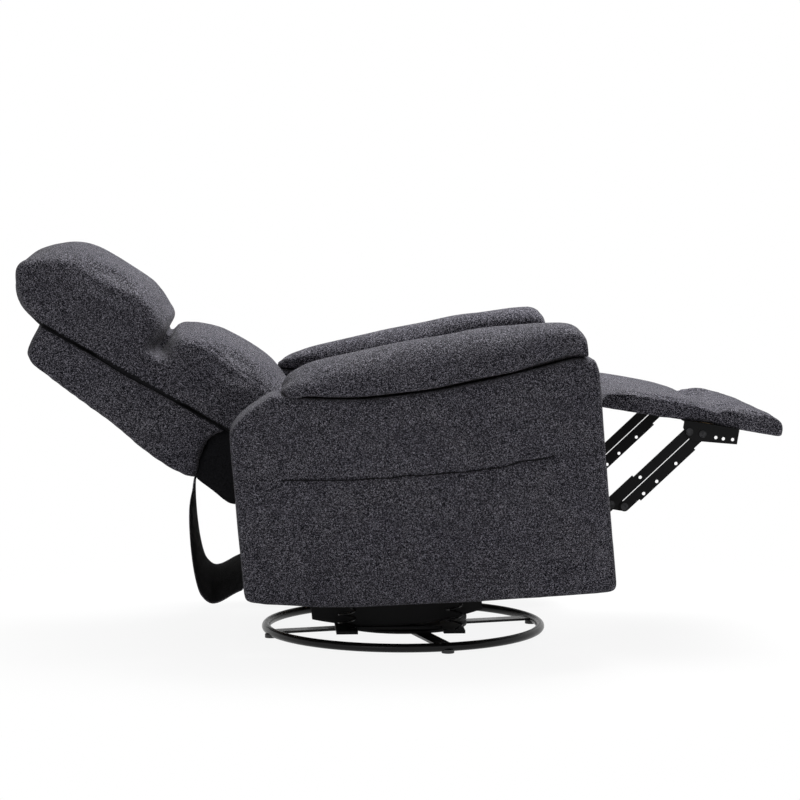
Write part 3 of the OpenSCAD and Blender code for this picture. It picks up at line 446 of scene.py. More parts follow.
def cloth(obj, pinned, pressure, cap, stiff=15.0, bend=0.6):
    """Swells obj by a short cloth simulation.

    pinned(point) says how firmly a point stays, and no point moves further than cap.
    """
    rest = [v.co.copy() for v in obj.data.vertices]
    group = obj.vertex_groups.new(name="held")
    for v in obj.data.vertices:
        w = pinned(v.co)
        if w > 0:
            group.add([v.index], w, "REPLACE")
    m = obj.modifiers.new("cloth", "CLOTH")
    s = m.settings
    s.quality = 3
    s.mass = 0.3
    s.tension_stiffness = s.compression_stiffness = stiff
    s.shear_stiffness = 5
    s.bending_stiffness = bend
    s.use_pressure = True
    s.uniform_pressure_force = pressure
    s.effector_weights.gravity = 0
    s.vertex_group_mass = "held"
    m.collision_settings.use_collision = False
    scene = bpy.context.scene
    for f in range(1, CLOTH_FRAMES + 1):
        scene.frame_set(f)
    shaped = obj.evaluated_get(bpy.context.evaluated_depsgraph_get())
    after = [v.co.copy() for v in shaped.data.vertices]
    obj.modifiers.remove(m)
    obj.vertex_groups.clear()
    for v, a, b in zip(obj.data.vertices, rest, after):
        d = b - a
        if d.length > cap:
            d *= cap / d.length
        v.co = a + d
    scene.frame_set(1)


def sampled(path, step):
    out = []
    for a, b in zip(path, path[1:]):
        a, b = Vector(a), Vector(b)
        count = max(1, int((b - a).length / step))
        out += [a.lerp(b, i / count) for i in range(count)]
    return out + [Vector(path[-1])]


def tree_of(paths, step=0.003):
    pts = [p for path in paths for p in sampled(path, step)]
    tree = kdtree.KDTree(len(pts))
    for i, p in enumerate(pts):
        tree.insert(p, i)
    tree.balance()
    return tree


def push(obj, amount):
    """Moves each point along its normal by amount(point), in metres."""
    normals = [v.normal.copy() for v in obj.data.vertices]
    for v, n in zip(obj.data.vertices, normals):
        v.co += n * amount(v.co)
    obj.data.update()


def seams(obj, paths, depth=0.003, width=0.0035, pucker=0.0012, reach=0.03, seed=0.0):
    """Draws sewn seams into obj: a groove along each path, with small puckers that die away beside it."""
    tree, pucker_scale, pucker_at = tree_of(paths), 55, 0.008
    def amount(co):
        near, _, d = tree.find(co)
        if d > reach:
            return 0.0
        sink = depth * math.exp(-((d / width) ** 2))
        q = near * pucker_scale + Vector((seed, 0, 0))
        return noise.noise(q) * pucker * math.exp(-((d - pucker_at) / (reach * 0.35)) ** 2) - sink
    push(obj, amount)


def faced(obj, look, where):
    """Gives the faces whose middle where() accepts another material."""
    obj.data.materials.append(look)
    for poly in obj.data.polygons:
        if where(poly.center):
            poly.material_index = len(obj.data.materials) - 1


def seam_shade_tube(obj, path, look, radius=0.0014):
    """Lays a thin black tube along path on obj's surface, as part of obj: painted shade standing in for the
    dark fold of a sewn seam.
    """
    points = snapped(obj, spline([tuple(p) for p in path], 10, closed=False))
    for _ in range(6):
        inner = [(a + b * 2 + c) / 4 for a, b, c in zip(points, points[1:], points[2:])]
        points = points[:1] + inner + points[-1:]
    verts, faces, ring = [], [], 6
    for i, p in enumerate(points):
        along = (points[min(i + 1, len(points) - 1)] - points[max(i - 1, 0)]).normalized()
        out = along.cross(Vector((0, 0, 1))).normalized()
        up = out.cross(along)
        for k in range(ring):
            a = 2 * math.pi * k / ring
            verts.append(p + radius * (math.cos(a) * out + math.sin(a) * up))
    for i in range(len(points) - 1):
        for k in range(ring):
            j = (k + 1) % ring
            faces.append((i * ring + k, i * ring + j, (i + 1) * ring + j, (i + 1) * ring + k))
    faces.append(tuple(range(ring))[::-1])
    faces.append(tuple((len(points) - 1) * ring + k for k in range(ring)))
    return joined(obj, make("seam_shade_tube", verts, faces, look))


def ripples(obj, amount, scale, stretch=(1, 1, 1), seed=0.0, where=None):
    """Soft unevenness of a filled cover."""
    start = Vector((seed, seed, 0))
    def wave(co):
        q = Vector(a * b for a, b in zip(co, stretch)) * scale + start
        share = where(co) if where else 1.0
        return noise.noise(q) * amount * share
    push(obj, wave)


def mirrored(obj, name):
    mesh = obj.data.copy()
    other = bpy.data.objects.new(name, mesh)
    bpy.context.collection.objects.link(other)
    for v in mesh.vertices:
        v.co.y = -v.co.y
    mesh.flip_normals()
    return other


def settle(obj, body, slot, *nodes):
    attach(obj, body)
    if nodes:
        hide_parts(*nodes)
    return obj


VOXEL = 0.008

# Back: its outlines are shares of each form's depth and height, in the back's own frame, whose x runs
# forwards and whose z runs up from the hinge
SEAM_X, BACK_H, SHELL_LOW, SHELL_D = 16.0, 528.0, 108.0, 119.0
HEAD_LOW, HEAD_HIGH, HEAD_D = 304.0, 646.0, 181.0
head_shares = [
    (0, 0.05), (0.08, 0.015), (0.35, 0.008), (0.64, 0.012), (0.76, 0.035), (0.85, 0.095), (0.91, 0.19),
    (0.94, 0.31), (0.95, 0.43), (0.945, 0.55), (0.925, 0.66), (0.88, 0.755), (0.80, 0.825), (0.71, 0.875),
    (0.60, 0.93), (0.48, 0.975), (0.37, 0.985), (0.24, 0.955), (0.12, 0.90), (0.03, 0.83), (0, 0.70),
    (0, 0.35)]
LUMBAR_LOW, LUMBAR_HIGH, LUMBAR_D = 62.0, 303.0, 152.0
lumbar_shares = [
    (0, 0.20), (0.02, 0.08), (0.28, 0), (0.50, 0.05), (0.72, 0.18), (0.86, 0.30), (0.95, 0.39),
    (0.985, 0.50), (0.99, 0.68), (0.965, 0.82), (0.885, 0.93), (0.78, 0.985), (0.38, 1), (0.05, 0.995),
    (0, 0.97), (0, 0.60)]
shell_shares = [
    (0, 0), (0, 0.5), (0, 0.99), (-0.04, 1.022), (-0.20, 1.027), (-0.42, 1.022), (-0.56, 1.01),
    (-0.645, 0.968), (-0.70, 0.87), (-0.745, 0.76), (-0.86, 0.53), (-0.965, 0.31), (-1.01, 0.17),
    (-1.005, 0.09), (-0.97, 0.03), (-0.91, 0), (-0.58, 0.035), (-0.33, 0.04), (-0.13, 0.02)]


def crowned(centre, up, rise):
    """A shift for loft that lifts an outline towards up, most in the middle of the chair."""
    cx, cz = centre
    def shift(p, share):
        dx, dz = p[0] - cx, p[1] - cz
        size = math.hypot(dx, dz) or 1
        lift = max(0.0, (dx * up[0] + dz * up[1]) / size)
        k = rise * (1 - share * share) * lift * lift
        return p[0] + k * up[0], p[1] + k * up[1]
    return shift


def rim(outline, y, place, depth, keep=None):
    """A seam path round the side of a form, at a depth inside its outline."""
    ring = inset(anticlockwise(outline), depth)
    pts = [place(p[0], y, p[1]) for p in ring if keep is None or keep(p)]
    return pts if keep else pts + pts[:1]


def back_outline(shares, low, high, deep):
    """A cushion's side outline, its rear edge moved behind the seam."""
    outline = spline([(SEAM_X + 0.5 + x * deep, low + z * (high - low)) for x, z in shares], 4)
    return [(SEAM_X - 5 if x < SEAM_X + 0.6 else x, z) for x, z in outline]


def back_cushions():
    """Headrest and lumbar part under one cover, with a crease between them that dies out on the sides."""
    half, crease_z, ends = 283.0, 304, dict(pull=34, power=3, hold=0.75)
    head = back_outline(head_shares, HEAD_LOW + 3, HEAD_HIGH, HEAD_D)
    lumbar = back_outline(lumbar_shares, -LUMBAR_LOW, LUMBAR_HIGH - 2, LUMBAR_D)
    core = spline([(14, 210), (56, 212), (76, 250), (80, 305), (76, 355), (56, 400), (14, 404)], 4)
    obj = joined(
        form("back_cushions", head, half, on_back, rise=5, up=(0.8, 0.6), **ends),
        form("lumbar_form", lumbar, half, on_back, rise=4, up=(1, 0), **ends),
        form("core", core, half - 1, on_back, pull=7, power=10))
    remesh(obj, VOXEL)
    relax(obj, 0.5, 2)
    start = on_back(SEAM_X + 3, 0, 0)
    ahead = (on_back(SEAM_X + 4, 0, 0) - start).normalized()
    upward = (on_back(0, 0, 1) - on_back(0, 0, 0)).normalized()
    def held(co):
        x, z = (co - start).dot(ahead), (co - start).dot(upward)
        if x < 0:
            return 1.0
        return 0.8 if x > 0.05 and abs(z - 0.306) < 0.010 else 0.0
    cloth(obj, held, pressure=2.4, cap=0.007)
    relax(obj, 0.5, 2)
    subdivide(obj)
    ears, ear_rise, ear_width, ear_reach = [on_back(106, y, 606) for y in (-268, 268)], 0.015, 0.042, 0.13
    for v in obj.data.vertices:
        near = min((v.co - ear).length for ear in ears)
        if near < ear_reach:
            v.co += upward * ear_rise * math.exp(-((near / ear_width) ** 2))
    ripples(obj, 0.0022, 10, seed=3.1)
    def crease(co):
        x, above = (co - start).dot(ahead) * 1000, (co - start).dot(upward) * 1000 - crease_z
        if x <= 75 or abs(above) >= 60:
            return 0.0
        lip = 6.5 if above > 0 else 2.5
        swell = lip * math.exp(-((abs(above) - 16) / 12) ** 2)
        groove = 15 * math.exp(-((above / 5.5) ** 2))
        return clamp((x - 75) / 35) * (swell - groove) / 1000
    push(obj, crease)
    def on_sides(points, y):
        return [snapped(obj, [on_back(x, side * y, z) for x, z in points]) for side in (-1, 1)]
    gusset = on_sides([(133, 291), (150, 252), (154, 212), (149, 163), (139, 110), (129, 62), (118, 20)], 277)
    seams(obj, gusset, depth=0.0032, width=0.0032, pucker=0.0014, seed=7.7)
    ear_folds = on_sides([(124, 596), (119, 583), (115, 568)], 276)
    seams(obj, ear_folds, depth=0.004, width=0.006, pucker=0.001, seed=2.2)
    finish_mesh(obj, FABRIC)
    # The cushions' rear faces, in the gap to the shell, get the black cloth: painted shade of the gap
    faced(obj, BLACK, lambda co: (co - start).dot(ahead) < 0.006)
    settle(obj, "back", "fabric", "headrest_pillow", "lumbar_cushion")


back_cushions()

# Outer back shell
SHELL_RISE, SHELL_LAP = BACK_H - SHELL_LOW, 7
SHELL_FRONT = SEAM_X + SHELL_LAP
shell_outline = spline(
    [(SHELL_FRONT + x * (SHELL_D + SHELL_LAP), SHELL_LOW + z * SHELL_RISE) for x, z in shell_shares], 3)
shell_outline = anticlockwise([(min(x, SHELL_FRONT), z) for x, z in shell_outline])
shell = form("back_shell", shell_outline, 290, on_back, pull=15, power=5)
remesh(shell, VOXEL)
relax(shell, 0.5, 3)
subdivide(shell)
ripples(shell, 0.002, 9, seed=5.2)
rear_rims = [rim(shell_outline, side * 268, on_back, 1, lambda p: p[0] < SEAM_X - 30) for side in (-1, 1)]
seams(shell, [snapped(shell, path) for path in rear_rims], depth=0.0022, seed=1.4)
finish_mesh(shell, FABRIC)
# The shell's front lip, facing the cushions across the gap, gets the black cloth: painted shade of the gap
shell_face = on_back(SEAM_X + 1, 0, 0)
forwards = (on_back(1, 0, 0) - on_back(0, 0, 0)).normalized()
faced(shell, BLACK, lambda co: (co - shell_face).dot(forwards) > 0)
settle(shell, "back", "fabric", "outer_back_shell")

# Lining under the back, a little wider beside the boards than behind them
LINING = [(10, 6), (10, 122), (-40, 126), (-84, 124), (-98, 108), (-104, 66), (-110, 36), (-107, 14),
          (-88, 3), (-40, 0)]
LINING_SIDES = [(22, 30), (24, 128), (-40, 126), (-84, 124), (-97, 100), (-106, 40), (-102, 18), (-50, 20)]
lining = joined(loft("back_lining_cloth", spline(LINING, 4), 259, on_back, 8, 10, BLACK),
                loft("lining_sides", spline(LINING_SIDES, 4), 270, on_back, 6, 8, BLACK))
remesh(lining, VOXEL)
relax(lining, 0.5, 4)
subdivide(lining)
ripples(lining, 0.004, 14, (1, 0.35, 1), seed=2.0)
finish_mesh(lining, BLACK)
settle(lining, "back", "black_cloth", "back_lining")

# Arms: outlines in the chair's frame; the right cover and pad are modelled, the left ones mirrored
PANEL_REAR, PANEL_FRONT, PANEL_LOW, PANEL_CLIMB, PANEL_TOP = 385.0, 347.0, 99.0, 47.0, 524.0
SEAM_RISE, ARM_IN, ARM_OUT, CORNER = 41.0, 300.0, 448.0, 14.0
PANEL_LEN, ARM_MID = PANEL_REAR + PANEL_FRONT, (ARM_IN + ARM_OUT) / 2
seam_shares = [
    (0.000, -1.12), (0.008, -0.83), (0.042, -0.22), (0.090, 0.29), (0.130, 0.61), (0.182, 0.44),
    (0.272, 0.17), (0.363, 0), (0.455, 0.05), (0.568, 0.11), (0.635, 0.24), (0.721, 0.42), (0.791, 0.61),
    (0.861, 0.80), (0.913, 0.95), (0.947, 1)]
bottom_shares = [(0.977, 0), (0.627, 0.17), (0.430, 0.32), (0.302, 0.43), (0.182, 0.64), (0.034, 1)]


def panel_x(share):
    return -PANEL_REAR + share * PANEL_LEN


crest = spline(
    [(panel_x(x), PANEL_TOP + z * SEAM_RISE) for x, z in seam_shares]
    + [(PANEL_FRONT - CORNER / 2, PANEL_TOP + SEAM_RISE - CORNER / 3)], 3, closed=False)
bottom = [(panel_x(x), PANEL_LOW + z * PANEL_CLIMB) for x, z in bottom_shares]


front_heights = [PANEL_TOP + SEAM_RISE - 2 * CORNER, 440, 330, 220, PANEL_LOW + CORNER]
panel_outline = anticlockwise(
    crest + [(PANEL_FRONT, z) for z in front_heights] + [(PANEL_FRONT - CORNER / 4, PANEL_LOW + CORNER / 4)]
    + bottom + [(-375, 147.5), (-382, 152)] + [(-PANEL_REAR, z) for z in (161, 260, 370)])
mid_seam = [(-383, 398), (-291, 384), (-203, 377), (-125, 371), (-46, 369), (33, 368), (112, 369), (181, 374),
            (244, 378), (314, 383), (345, 387)]


def height_at(path, x):
    """The height of a path that runs forwards, above x."""
    for a, b in zip(path, path[1:]):
        if a[0] <= x <= b[0]:
            return a[1] + (b[1] - a[1]) * (x - a[0]) / max(b[0] - a[0], 1e-6)
    return path[0][1] if x < path[0][0] else path[-1][1]


def crest_z(x):
    return height_at(crest, x)


def unplace(co):
    """The chair-frame point, in millimetres, of a point in the row frame."""
    dx, dz = turned(co.x * 1000 - ROCK_X, co.z * 1000 - ROCK_Z - LIFT, -LEAN)
    return ROCK_X + dx, co.y * 1000, ROCK_Z + dz


def side_cover():
    """The right side panel's cover: hollow, open below, crowned outside, with a black tube along the curved
    seam as painted shade of its fold.
    """
    half, crown_height, crown_depth = (ARM_OUT - ARM_IN) / 2, 0.0065, 20
    obj = loft("side_cover_right", panel_outline, half, chair, 14, 13, FABRIC, middle=-ARM_MID)
    hollow = [(x, z - 12) for x, z in crest if -370 < x < 330]
    hollow += [(334, 540), (334, 60), (-372, 60), (-372, 470)]
    cutter = loft("hollow", hollow, half - 11.5, chair, 1, 1, FABRIC, middle=-ARM_MID)
    m = obj.modifiers.new("hollow", "BOOLEAN")
    m.object = cutter
    m.solver = "EXACT"
    apply_modifiers(obj)
    bpy.data.objects.remove(cutter)
    remesh(obj, 0.0065)
    relax(obj, 0.5, 2)
    subdivide(obj)
    def crown(co):
        x, y, z = unplace(co)
        if y > crown_depth - ARM_OUT:
            return 0.0
        edge = min(crest_z(x) - z, z - PANEL_LOW, PANEL_FRONT - x, x + PANEL_REAR, 200)
        seam = abs(z - height_at(mid_seam, x))
        soft = (1 - math.exp(-max(edge, 0) / 45)) * (1 - 0.55 * math.exp(-(seam / 26) ** 2))
        return crown_height * soft
    push(obj, crown)
    ripples(obj, 0.0024, 7, (1, 1, 1.6), seed=8.8)
    line = snapped(obj, [chair(x, -(ARM_OUT + 4), z) for x, z in mid_seam])
    seams(obj, [line], depth=0.006, width=0.006, pucker=0.002, seed=6.0)
    finish_mesh(obj, FABRIC)
    # The black tube of painted seam shade stops short of the rounded ends
    return seam_shade_tube(obj, line[1:9], BLACK)


cover_right = side_cover()
cover_left = mirrored(cover_right, "side_cover_left")
for obj, node_name in ((cover_right, "side_panel_right"), (cover_left, "side_panel_left")):
    settle(obj, "chassis", "fabric", node_name)

PAD_H = 98.0
pad_top_shares = [
    (0.148, 0.36), (0.167, 0.56), (0.190, 0.66), (0.227, 0.78), (0.284, 0.86), (0.370, 0.95), (0.478, 1.03),
    (0.587, 1.10), (0.698, 1.19), (0.806, 1.20), (0.878, 1.17), (0.938, 1.09), (0.963, 0.96), (0.975, 0.78),
    (0.977, 0.60)]


def arm_pad():
    """The right arm's pad: rounded sections that stand on the cover's crest, with a lip over its edges."""
    half, lip_drop = 77.0, 15
    tops = spline([(panel_x(x), PANEL_TOP + z * PAD_H) for x, z in pad_top_shares], 3, closed=False)
    ring, power, verts, faces = 36, 2.5, [], []
    last = len(tops) - 1
    for k, (x, top) in enumerate(tops):
        z0 = crest_z(x) + 1.0
        h = max(top - z0, 5.0)
        reach = half * min(1.0, 0.74 + 0.26 * min(k, last - k) / 3)
        for i in range(ring):
            a = i * 2 * math.pi / ring
            b = (abs(math.cos(a)) ** power + abs(math.sin(a)) ** power) ** (-1 / power)
            z = max(z0, z0 + h * (1 + b * math.sin(a) * 1.02) / 2)
            verts.append(chair(x, reach * b * math.cos(a) - ARM_MID, z))
    for k in range(last):
        for i in range(ring):
            j = (i + 1) % ring
            faces.append((k * ring + i, (k + 1) * ring + i, (k + 1) * ring + j, k * ring + j))
    faces.append(tuple(range(ring)))
    faces.append(tuple(last * ring + i for i in range(ring))[::-1])
    obj = make("arm_cushion_right", verts, faces, FABRIC)
    remesh(obj, 0.005)
    relax(obj, 0.5, 4)
    def held(co):
        x, y, z = unplace(co)
        return 1.0 if z < crest_z(x) + 5 else 0.0
    cloth(obj, held, pressure=3.0, cap=0.009)
    relax(obj, 0.5, 2)
    subdivide(obj)
    for v in obj.data.vertices:
        x, y, z = unplace(v.co)
        seam_z, outwards = crest_z(x), abs(y) - ARM_MID
        z -= clamp((z - seam_z) / 60) * clamp((300 - x) / 120) * (12 + 0.21 * outwards)
        lip = clamp((abs(outwards) - 60) / 12) * (1 - clamp((z - seam_z) / 30))
        v.co = chair(x, y, max(z, seam_z + 0.8) - lip_drop * lip)
    def front_end(co):
        return clamp((unplace(co)[0] - 230) / 90)
    ripples(obj, 0.0016, 10, seed=4.4)
    ripples(obj, 0.0022, 45, (0.35, 1, 1), seed=9.1, where=front_end)
    finish_mesh(obj, FABRIC)
    return obj


pad_right = arm_pad()
pad_left = mirrored(pad_right, "arm_cushion_left")
# The far pad's top shows lower in the photo, most towards its rear
LEFT_DROP = 15
for v in pad_left.data.vertices:
    x, y, z = unplace(v.co)
    v.co = chair(x, y, z - LEFT_DROP * clamp((z - crest_z(x)) / 60) * clamp((320 - x) / 380) ** 0.7)
for obj, node_name in ((pad_right, "arm_pad_right"), (pad_left, "arm_pad_left")):
    settle(obj, "chassis", "fabric", node_name)

# Seat
SEAT_Z, SEAT_H, SEAT_FRONT, SEAT_REAR = 380.0, 122.0, 326.0, 156.0
SEAT_HALF, SEAT_CROWN = 287, 12
seat_shares = [
    (0.01, 0.0), (0.35, 0), (0.75, 0), (0.97, 0.01), (1, 0.14), (1, 0.50), (0.985, 0.78), (0.93, 0.92),
    (0.80, 0.945), (0.60, 0.91), (0.40, 0.85), (0.24, 0.76), (0.145, 0.67), (0.085, 0.55), (0.05, 0.33),
    (0.02, 0.12)]


def seat_cushion():
    """The seat, with a seam round each side and one across its front."""
    long = SEAT_FRONT + SEAT_REAR
    outline = spline([(-SEAT_REAR + x * long, SEAT_Z + 1 + z * SEAT_H) for x, z in seat_shares], 5)
    outline = anticlockwise([(x, max(z, SEAT_Z + 1)) for x, z in outline])
    crown = crowned(centre_of(outline), (0, 1), SEAT_CROWN)
    obj = loft("seat_pad", outline, SEAT_HALF, chair, 24, 30, FABRIC, crown)
    remesh(obj, VOXEL)
    relax(obj, 0.5, 4)
    lines = [rim(outline, y, chair, 8, lambda p: p[1] > SEAT_Z + 14) for y in (-278, 278)]
    lines.append([chair(232, y, SEAT_Z + 0.955 * SEAT_H + SEAT_CROWN * (1 - (y / SEAT_HALF) ** 2))
                  for y in range(-270, 271, 15)])
    tree = tree_of(lines)
    def held(co):
        x, y, z = unplace(co)
        if z < SEAT_Z + 7:
            return 1.0
        return 0.9 if tree.find(co)[2] < 0.006 else 0.0
    cloth(obj, held, pressure=3.0, cap=0.014)
    relax(obj, 0.5, 2)
    subdivide(obj)
    ripples(obj, 0.0022, 9, seed=1.9)
    seams(obj, lines, seed=2.8)
    finish_mesh(obj, FABRIC)
    settle(obj, "seat", "fabric", "seat_cushion")


seat_cushion()

# Footrest pad: wraps its board, with a crease across the middle
FOOT_LEN, FOOT_H, FOOT_HALF, FOOT_LOW, FOOT_CREASE = 386.0, 38.5, 280, -1.5, 239
foot_shares = [
    (0.01, 0), (0.30, 0), (0.65, 0), (0.90, 0), (0.985, 0.02), (1, 0.20), (0.998, 0.45), (0.985, 0.70),
    (0.955, 0.86), (0.90, 0.95), (0.84, 0.98), (0.77, 1), (0.735, 0.98), (0.69, 0.92), (0.64, 0.82),
    (0.60, 0.80), (0.555, 0.87), (0.49, 0.95), (0.40, 0.99), (0.30, 1), (0.18, 0.99), (0.08, 0.93),
    (0.02, 0.75), (0, 0.45)]


def footrest():
    """The footrest's cushion: flat below, creased on top, with folds that run from the crease's ends."""
    outline = spline([(x * FOOT_LEN, FOOT_LOW + z * (FOOT_H - FOOT_LOW)) for x, z in foot_shares], 5)
    outline = [(x, max(z, FOOT_LOW)) for x, z in outline]
    obj = form("footrest_cushion", outline, FOOT_HALF, on_foot, pull=9, rise=2, tall=FOOT_H / 2)
    remesh(obj, 0.005)
    relax(obj, 0.5, 2)
    normal = (on_foot(0, 0, 1) - on_foot(0, 0, 0)).normalized()
    along = (on_foot(1, 0, 0) - on_foot(0, 0, 0)).normalized()
    base = on_foot(0, 0, 0)
    def local(co):
        d = (co - base) * 1000
        return d.dot(along), d.dot(normal)
    def held(co):
        x, z = local(co)
        if z < 4:
            return 1.0
        return 0.6 if abs(x - FOOT_CREASE) < 8 and z > 20 else 0.0
    cloth(obj, held, pressure=2.0, cap=0.003)
    subdivide(obj)
    # The rim's lower edge is drawn down to the flat underside
    rim_top = 5
    for v in obj.data.vertices:
        x, z = local(v.co)
        if FOOT_LOW < z < rim_top:
            v.co += normal * (FOOT_LOW - z) * (rim_top - z) / (rim_top - FOOT_LOW) / 1000
    def pulled(co):
        x, z = local(co)
        return math.exp(-((x - 268) / 42) ** 2) * min(1, abs(co.y) / 0.16) if z > 12 else 0.0
    ripples(obj, 0.0014, 10, seed=3.3)
    ripples(obj, 0.006, 62, (0.3, 1, 1), seed=6.6, where=pulled)
    crease = snapped(obj, [on_foot(FOOT_CREASE, y, 45) for y in range(-270, 271, 15)])
    seams(obj, [crease], depth=0.0022, width=0.012, pucker=0.002, seed=5.0)
    finish_mesh(obj, FABRIC)
    settle(obj, "footrest", "fabric", "footrest_pad")


footrest()

# Rear flap: one cloth from the shell's lower edge to the rear rail
FLAP_W, FLAP_T, FLAP_HANG = 544.0, 1.6, 252.0


def shell_point(x, z):
    px, pz = SEAM_X + x * SHELL_D, SHELL_LOW + z * SHELL_RISE
    dx, dz = turned(px, pz, RECLINE)
    return HINGE[0] + dx, HINGE[1] + dz


top_a, top_b = shell_point(-0.97, 0.03), shell_point(-0.91, 0)
flap_top = ((top_a[0] + top_b[0]) / 2, (top_a[1] + top_b[1]) / 2 - 0.6)
# Its lower end lies against the rear rail, just behind the panels' rear edge
flap_low = (-PANEL_REAR - 0.4 - FLAP_T, PANEL_LOW + PANEL_CLIMB + 20)
flap_shares = [(0, 0), (-0.01, -0.03), (-0.188, -0.209), (-0.253, -0.448), (-0.240, -0.706)]


def cloth_strip(name, path, half, thick, wave, front, back, hem=0.0):
    """A cloth of some thickness along a side path; its hems fold the front's cover over the back."""
    cols = 60
    ys = [-half, -half + 2] + [-half + 2 * half * k / cols for k in range(1, cols)] + [half - 2, half]
    if hem:
        ys = sorted(set(ys + [-half + hem, half - hem]))
    n, w = len(path), len(ys)
    verts, faces, looks = [], [], []
    for side in (0, 1):
        for i, p in enumerate(path):
            a, b = path[max(i - 1, 0)], path[min(i + 1, n - 1)]
            dx, dz = b[0] - a[0], b[1] - a[1]
            size = math.hypot(dx, dz)
            nx, nz = dz / size, -dx / size
            for y in ys:
                off = side * thick + wave(i / (n - 1), y / half)
                verts.append(chair(p[0] + nx * off, y, p[1] + nz * off))
    def at(side, i, k):
        return side * n * w + i * w + k
    for i in range(n - 1):
        for k in range(w - 1):
            faces.append((at(0, i, k), at(0, i, k + 1), at(0, i + 1, k + 1), at(0, i + 1, k)))
            edge = min(ys[k] + half, half - ys[k + 1]) < hem - 0.01
            looks.append(0 if edge else 1)
            faces.append((at(1, i, k), at(1, i + 1, k), at(1, i + 1, k + 1), at(1, i, k + 1)))
            looks.append(0)
    for i in range(n - 1):
        faces.append((at(0, i, 0), at(0, i + 1, 0), at(1, i + 1, 0), at(1, i, 0)))
        faces.append((at(0, i, w - 1), at(1, i, w - 1), at(1, i + 1, w - 1), at(0, i + 1, w - 1)))
        looks += [0, 0]
    for k in range(w - 1):
        faces.append((at(0, 0, k), at(1, 0, k), at(1, 0, k + 1), at(0, 0, k + 1)))
        faces.append((at(0, n - 1, k), at(0, n - 1, k + 1), at(1, n - 1, k + 1), at(1, n - 1, k)))
        looks += [0, 0]
    obj = make(name, verts, faces, front)
    obj.data.materials.append(back)
    for poly, look in zip(obj.data.polygons, looks):
        poly.material_index = look
    bm = bmesh.new()
    bm.from_mesh(obj.data)
    bmesh.ops.recalc_face_normals(bm, faces=bm.faces)
    bm.to_mesh(obj.data)
    bm.free()
    obj.data.shade_smooth()
    return obj


flap_run = flap_low[0] - flap_top[0]
flap_path = spline(
    [(flap_top[0] + x * flap_run, flap_top[1] + z * FLAP_HANG) for x, z in flap_shares]
    + [(-476, 159), (-467, 140), (-455, 130), (-441, 130), (-427, 135), (-412, 142), (-399, 147), (-392, 149),
       (flap_low[0] - 1, flap_low[1] - 12)], 5, closed=False) + [flap_low]


def flap_wave(t, share):
    envelope = math.sin(math.pi * min(1, t * 1.15)) if t < 0.87 else 0.0
    return 2.0 * envelope * math.sin(share * 4.2 + 1.0) - 1.2 * envelope * math.cos(share * 9)


flap = cloth_strip("rear_flap_cloth", flap_path, FLAP_W / 2, FLAP_T, flap_wave, FABRIC, BLACK, hem=9)
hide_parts("rear_flap")
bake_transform(flap)

# Crumb cloth behind the seat
CRUMB_W, CRUMB_T, CRUMB_X, CRUMB_Z, CRUMB_LONG, CRUMB_SAG = 492, 1.6, -165.4, 340, 104, 16
crumb_shares = [(0, 0.25), (-0.33, -0.7), (-0.67, -1), (-1, -0.6)]
crumb_points = [(CRUMB_X + x * CRUMB_LONG, CRUMB_Z + z * CRUMB_SAG) for x, z in crumb_shares]
crumb_path = spline(crumb_points, 5, closed=False)


def crumb_wave(t, share):
    return 1.5 * math.sin(share * 9) * math.sin(3 * t)


crumb = cloth_strip("crumb_cloth_sheet", crumb_path, CRUMB_W / 2, CRUMB_T, crumb_wave, BLACK, BLACK)
settle(crumb, "seat", "black_cloth", "crumb_cloth")

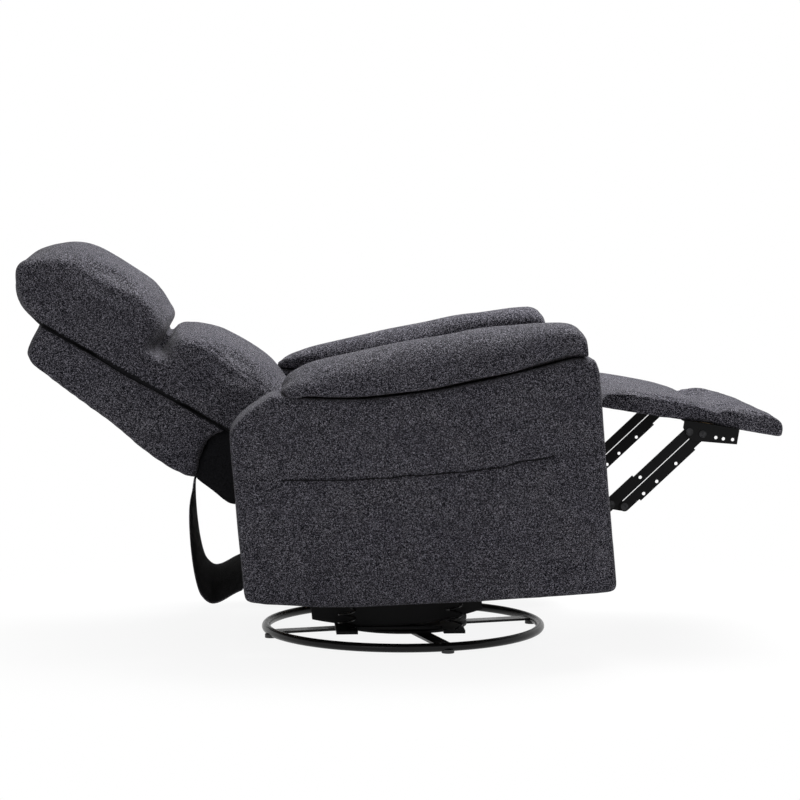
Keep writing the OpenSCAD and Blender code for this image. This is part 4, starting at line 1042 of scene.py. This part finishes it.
# Floor, backdrop and light
def stage_material(name, strength):
    m = bpy.data.materials.new(name)
    m.use_nodes = True
    t = m.node_tree
    t.nodes.clear()
    out = t.nodes.new("ShaderNodeOutputMaterial")
    rays = t.nodes.new("ShaderNodeLightPath")
    seen = node(t, "ShaderNodeMath", operation="MAXIMUM")
    t.links.new(rays.outputs["Is Camera Ray"], seen.inputs[0])
    t.links.new(rays.outputs["Is Glossy Ray"], seen.inputs[1])
    where = t.nodes.new("ShaderNodeTexCoord")
    far = node(t, "ShaderNodeVectorMath", operation="LENGTH")
    t.links.new(where.outputs["Object"], far.inputs[0])
    glowing = node(t, "ShaderNodeMapRange")
    glowing.interpolation_type = "SMOOTHSTEP"
    for key, value in (("From Min", 0.35), ("From Max", 1.3), ("To Min", strength), ("To Max", 1.0)):
        glowing.inputs[key].default_value = value
    t.links.new(far.outputs["Value"], glowing.inputs["Value"])
    amount = node(t, "ShaderNodeMath", operation="MULTIPLY")
    t.links.new(seen.outputs[0], amount.inputs[0])
    t.links.new(glowing.outputs["Result"], amount.inputs[1])
    diffuse = node(t, "ShaderNodeBsdfDiffuse", Color=(0.82, 0.82, 0.82, 1))
    glow = node(t, "ShaderNodeEmission", Color=(1, 1, 1, 1), Strength=1.0)
    both = t.nodes.new("ShaderNodeMixShader")
    t.links.new(amount.outputs[0], both.inputs[0])
    t.links.new(diffuse.outputs[0], both.inputs[1])
    t.links.new(glow.outputs[0], both.inputs[2])
    t.links.new(both.outputs[0], out.inputs["Surface"])
    return m


floor = make("floor", [(-9, -9, 0), (9, -9, 0), (9, 9, 0), (-9, 9, 0)], [(0, 1, 2, 3)],
             stage_material("floor_white", 0.90), smooth=False)

world = bpy.data.worlds.new("studio")
bpy.context.scene.world = world
world.use_nodes = True
wt = world.node_tree
wt.nodes.clear()
w_out = wt.nodes.new("ShaderNodeOutputWorld")
rays = wt.nodes.new("ShaderNodeLightPath")
seen = node(wt, "ShaderNodeMath", operation="MAXIMUM")
wt.links.new(rays.outputs["Is Camera Ray"], seen.inputs[0])
more = node(wt, "ShaderNodeMath", operation="MAXIMUM")
wt.links.new(rays.outputs["Is Glossy Ray"], more.inputs[0])
wt.links.new(rays.outputs["Is Transmission Ray"], more.inputs[1])
wt.links.new(more.outputs[0], seen.inputs[1])
soft = node(wt, "ShaderNodeBackground", Color=(1, 1, 1, 1), Strength=0.30)
white = node(wt, "ShaderNodeBackground", Color=(1, 1, 1, 1), Strength=1.0)
blend_world = wt.nodes.new("ShaderNodeMixShader")
wt.links.new(seen.outputs[0], blend_world.inputs[0])
wt.links.new(soft.outputs[0], blend_world.inputs[1])
wt.links.new(white.outputs[0], blend_world.inputs[2])
wt.links.new(blend_world.outputs[0], w_out.inputs["Surface"])


def lamp(name, place, aim, size, power):
    data = bpy.data.lights.new(name, "AREA")
    data.shape = "RECTANGLE"
    data.size, data.size_y = size
    data.energy = power
    obj = bpy.data.objects.new(name, data)
    obj.location = place
    obj.rotation_euler = (Vector(aim) - Vector(place)).to_track_quat("-Z", "Y").to_euler()
    bpy.context.collection.objects.link(obj)


lamp("top_light", (0.75, 0.75, 2.8), (-0.2, 0.0, 0.6), (1.8, 1.6), 165)
lamp("near_light", (-1.9, -3.1, 2.2), (-0.2, 0, 0.5), (2.2, 1.8), 25)

bpy.context.scene.view_settings.view_transform = "Standard"
